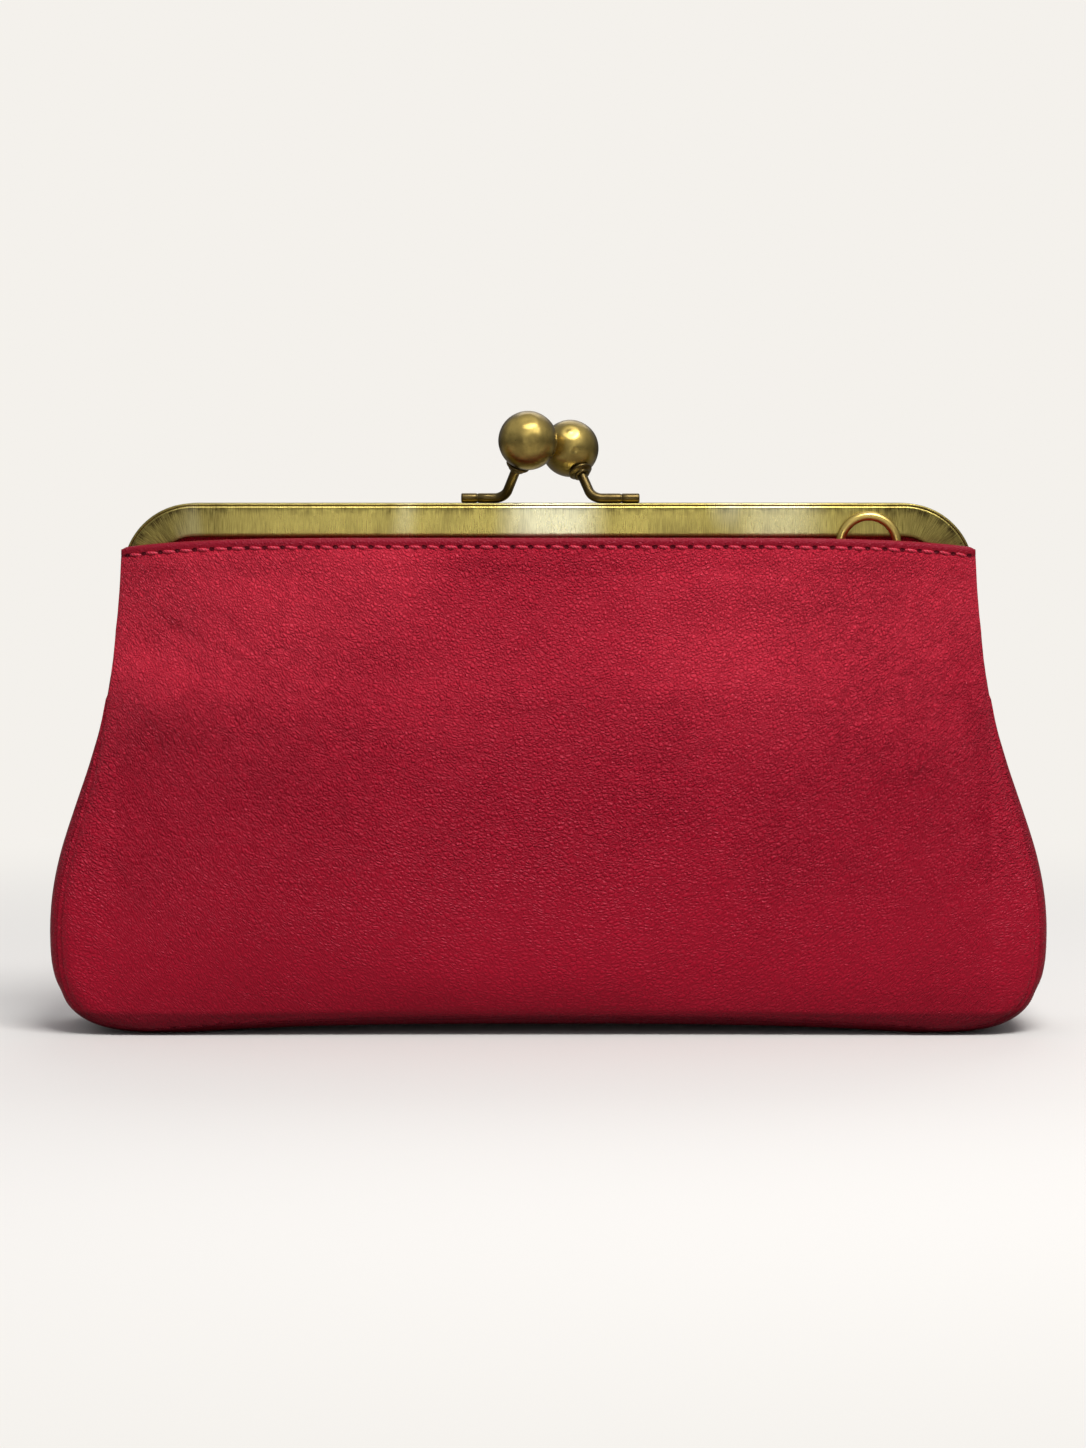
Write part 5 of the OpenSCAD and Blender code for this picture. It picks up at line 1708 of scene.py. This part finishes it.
class PURSE_OT_side_strip(bpy.types.Operator):
    """Loft the strip of leather that runs down one side, under the base and up the other side"""

    bl_idname = "purse.side_strip"
    bl_label = "Side strip"

    def execute(self, context):
        scene = context.scene
        thick = scene.purse_leather.thickness / MM
        near_edge = np.array([0.82, 0.87, 0.91, 0.94, 0.965, 0.985, 1.0])
        t = np.concatenate([-near_edge[::-1], np.linspace(-0.76, 0.76, 23), near_edge])
        # Its edges reach a little way into the panels, so that no light passes between them
        outer, inner = (
            strip_grid(lambda x, z: 0 * z + inwards, -0.3, STRIP_TOP, t, 0.9, folds=2.6, pinch=0.6)
            for inwards in (0.0, thick)
        )
        # Both long edges turn inwards along the panels, as the seam allowance does
        flange = 1.6
        for k, row in ((0, outer[0]), (-1, outer[-1])):
            inner[k] = row + (inner[k] - row) * (1 + flange / thick)
        # The strip takes a darker copy of the red leather as painted shade on the sides and under the base
        obj = shell_object(
            "strip_leather", outer, inner, 1, [leather(scene, "strip_red_leather", 0.72), flesh_side(scene)]
        )
        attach(obj, "body")
        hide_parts("gusset")
        return {"FINISHED"}


class PURSE_OT_linings(bpy.types.Operator):
    """Hang the lining cloth inside the front, the back and the side strip"""

    bl_idname = "purse.linings"
    bl_label = "Linings"

    def execute(self, context):
        scene = context.scene
        thick = scene.purse_leather.lining / MM
        for half, side in (("front", -1), ("back", 1)):
            outer, inner = body_surface(side, thick, 110, 1.8, behind=LINING_BEHIND, widen=-2.2)
            # The cloth's lower edge ends above the lining of the base
            for grid in (outer, inner):
                grid[..., 2] += 2.4 * (1 - clamp(grid[..., 2] / 12))
            obj = shell_object(f"{half}_lining_cloth", outer, inner, side, [cloth(scene)])
            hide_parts(f"{half}_lining_upper", f"{half}_lining_lower")
            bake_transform(obj)
        t = np.linspace(-1, 1, 17)
        floor = ARCH_H + LEATHER + PLY_GAP + BOARD + PLY_GAP

        def inside(more):
            """Offsets that lay the cloth over the board on the base and close to the leather at the sides."""

            def offset(px, pz):
                along = np.where(pz < 0.01 + arch(px) * 1.0001, np.abs(px), HALF_FOOT + pz * 4)
                share = ease((HALF_FOOT * 1.18 - along) / 20)
                return mix(1.4, floor, share) - np.where(np.abs(px) < HALF_FOOT, arch(px), 0) * share + more

            return offset

        outer, inner = (strip_grid(inside(more), 1.4, LINING_TOP, t, 1.6, folds=2.6) for more in (0.0, thick))
        obj = shell_object("strip_lining_cloth", outer, inner, 1, [cloth(scene)])
        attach(obj, "body")
        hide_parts("gusset_lining")
        return {"FINISHED"}


class PURSE_OT_fillings(bpy.types.Operator):
    """Give the paper cords and the base board their finish"""

    bl_idname = "purse.fillings"
    bl_label = "Cords and board"

    def execute(self, context):
        cord = material("paper_cord", paper_material, (0.62, 0.52, 0.36), 900.0)
        board = material("pressed_board", paper_material, (0.42, 0.32, 0.2), 160.0)
        for node, finish in (
            ("front_channel_cord", cord), ("back_channel_cord", cord), ("base_board", board)
        ):
            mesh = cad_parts[node].data
            mesh.materials.clear()
            mesh.materials.append(finish)
        return {"FINISHED"}


class PURSE_OT_stage(bpy.types.Operator):
    """Lay the pale floor, hang the soft lights and set the camera"""

    bl_idname = "purse.stage"
    bl_label = "Stage"

    def execute(self, context):
        scene, look = context.scene, context.scene.purse_stage
        scene.view_settings.view_transform = "Standard"
        self.world(scene, tuple(look.background), look.room)
        self.floor(look)
        target = (0, 0, 0.055)
        self.lamp("Key softbox", (0.22, -0.46, 0.86), target, (0.5, 0.36), look.key)
        self.lamp("Front card", (0.0, -0.97, 0.13), (0, 0, 0.1), (0.27, 0.16), look.card)
        self.lamp("Back softbox", (0.1, 0.75, 0.75), target, (0.7, 0.45), look.back)
        camera = bpy.data.cameras.new("Camera")
        camera.lens, camera.sensor_width, camera.clip_start = look.lens, 36.0, 0.01
        obj = new_object("Camera", camera)
        # The distance is measured from this plane, and the camera looks at this height in it
        plane_y, x, aim_z = -0.006, -0.0011, 0.063
        obj.location = (x, plane_y - look.distance, look.height)
        obj.rotation_euler = (math.pi / 2 - math.atan2(look.height - aim_z, look.distance), 0, 0)
        scene.camera = obj
        return {"FINISHED"}

    def lamp(self, name, place, target, size, power):
        light = bpy.data.lights.new(name, "AREA")
        light.shape, light.size, light.size_y, light.energy = "RECTANGLE", size[0], size[1], power
        obj = new_object(name, light)
        obj.location = place
        obj.rotation_euler = (Vector(target) - Vector(place)).to_track_quat("-Z", "Y").to_euler()

    def world(self, scene, background, strength):
        """A room that is brighter overhead; the camera sees the plain background instead."""
        s = Shader("Studio", "worlds", "OutputWorld")
        scene.world = s.owner
        height = s.parts(s.add("TexCoord").outputs["Generated"])[2]
        light = s.ramp(height, -0.1, 0.7, 0.26 * strength, strength)
        room = s.add("Background", {0: (0.93, 0.95, 1.0), 1: light})
        path = s.add("LightPath").outputs
        direct = s.math("MAXIMUM", path["Is Camera Ray"], path["Is Transmission Ray"])
        s.finish(s.mixed(direct, room, s.add("Background", {0: background})))

    def floor(self, look):
        """A pale floor that fades into the background, so that no horizon shows."""
        s = Shader("pale_floor")
        far = s.add("VectorMath", {0: s.place()}, operation="LENGTH").outputs["Value"]
        pale = s.blend(s.ramp(far, 0.35, 0.9), tuple(look.floor), (0.16, 0.155, 0.147))
        seen = s.add("LightPath").outputs["Is Camera Ray"]
        # What the purse receives back from the floor is kept low, so that its underside stays deep
        pale = s.blend(seen, s.blend(0.62, pale, (0.10, 0.095, 0.09)), pale)
        lit = s.add("BsdfDiffuse", {"Color": pale})
        plain = s.add("Emission", {"Color": tuple(look.background), "Strength": 1.0})
        finish = s.finish(s.mixed(s.times(s.ramp(far, 0.14, 0.42), seen), lit, plain))
        mesh = bpy.data.meshes.new("Floor")
        size, z = 6.0, -0.00002
        mesh.from_pydata(
            [(-size, -size, z), (size, -size, z), (size, size, z), (-size, size, z)], [], [(0, 1, 2, 3)]
        )
        obj = new_object("Floor", mesh)
        mesh.materials.append(finish)


class PURSE_PT_panel(bpy.types.Panel):
    bl_label = "Kiss lock purse"
    bl_idname = "PURSE_PT_panel"
    bl_space_type = "VIEW_3D"
    bl_region_type = "UI"
    bl_category = "Purse"

    def draw(self, context):
        scene = context.scene
        for title, group in (
            ("Leather", scene.purse_leather), ("Metal", scene.purse_metal),
            ("Stitches", scene.purse_stitches), ("Stage", scene.purse_stage)
        ):
            box = self.layout.box()
            box.label(text=title)
            for key in group.bl_rna.properties.keys():
                if key not in ("rna_type", "name"):
                    box.prop(group, key)
        for step in STEPS:
            self.layout.operator(step.bl_idname)


GROUPS = {
    "purse_leather": PurseLeather,
    "purse_metal": PurseMetal,
    "purse_stitches": PurseStitches,
    "purse_stage": PurseStage,
}
STEPS = (
    PURSE_OT_stage,
    PURSE_OT_frame_halves,
    PURSE_OT_hinge_rivets,
    PURSE_OT_kiss_lock,
    PURSE_OT_ring,
    PURSE_OT_ring_tab,
    PURSE_OT_pocket,
    PURSE_OT_hem_stitches,
    PURSE_OT_body_panels,
    PURSE_OT_side_strip,
    PURSE_OT_linings,
    PURSE_OT_fillings,
)


def register():
    for group in GROUPS.values():
        bpy.utils.register_class(group)
    for step in STEPS:
        bpy.utils.register_class(step)
    bpy.utils.register_class(PURSE_PT_panel)
    for key, group in GROUPS.items():
        setattr(bpy.types.Scene, key, PointerProperty(type=group))


def unregister():
    for key in GROUPS:
        delattr(bpy.types.Scene, key)
    bpy.utils.unregister_class(PURSE_PT_panel)
    for step in reversed(STEPS):
        bpy.utils.unregister_class(step)
    for group in reversed(list(GROUPS.values())):
        bpy.utils.unregister_class(group)


def main():
    register()
    for step in STEPS:
        group, name = step.bl_idname.split(".")
        getattr(getattr(bpy.ops, group), name)()
    bpy.context.view_layer.update()


if __name__ == "__main__":
    main()
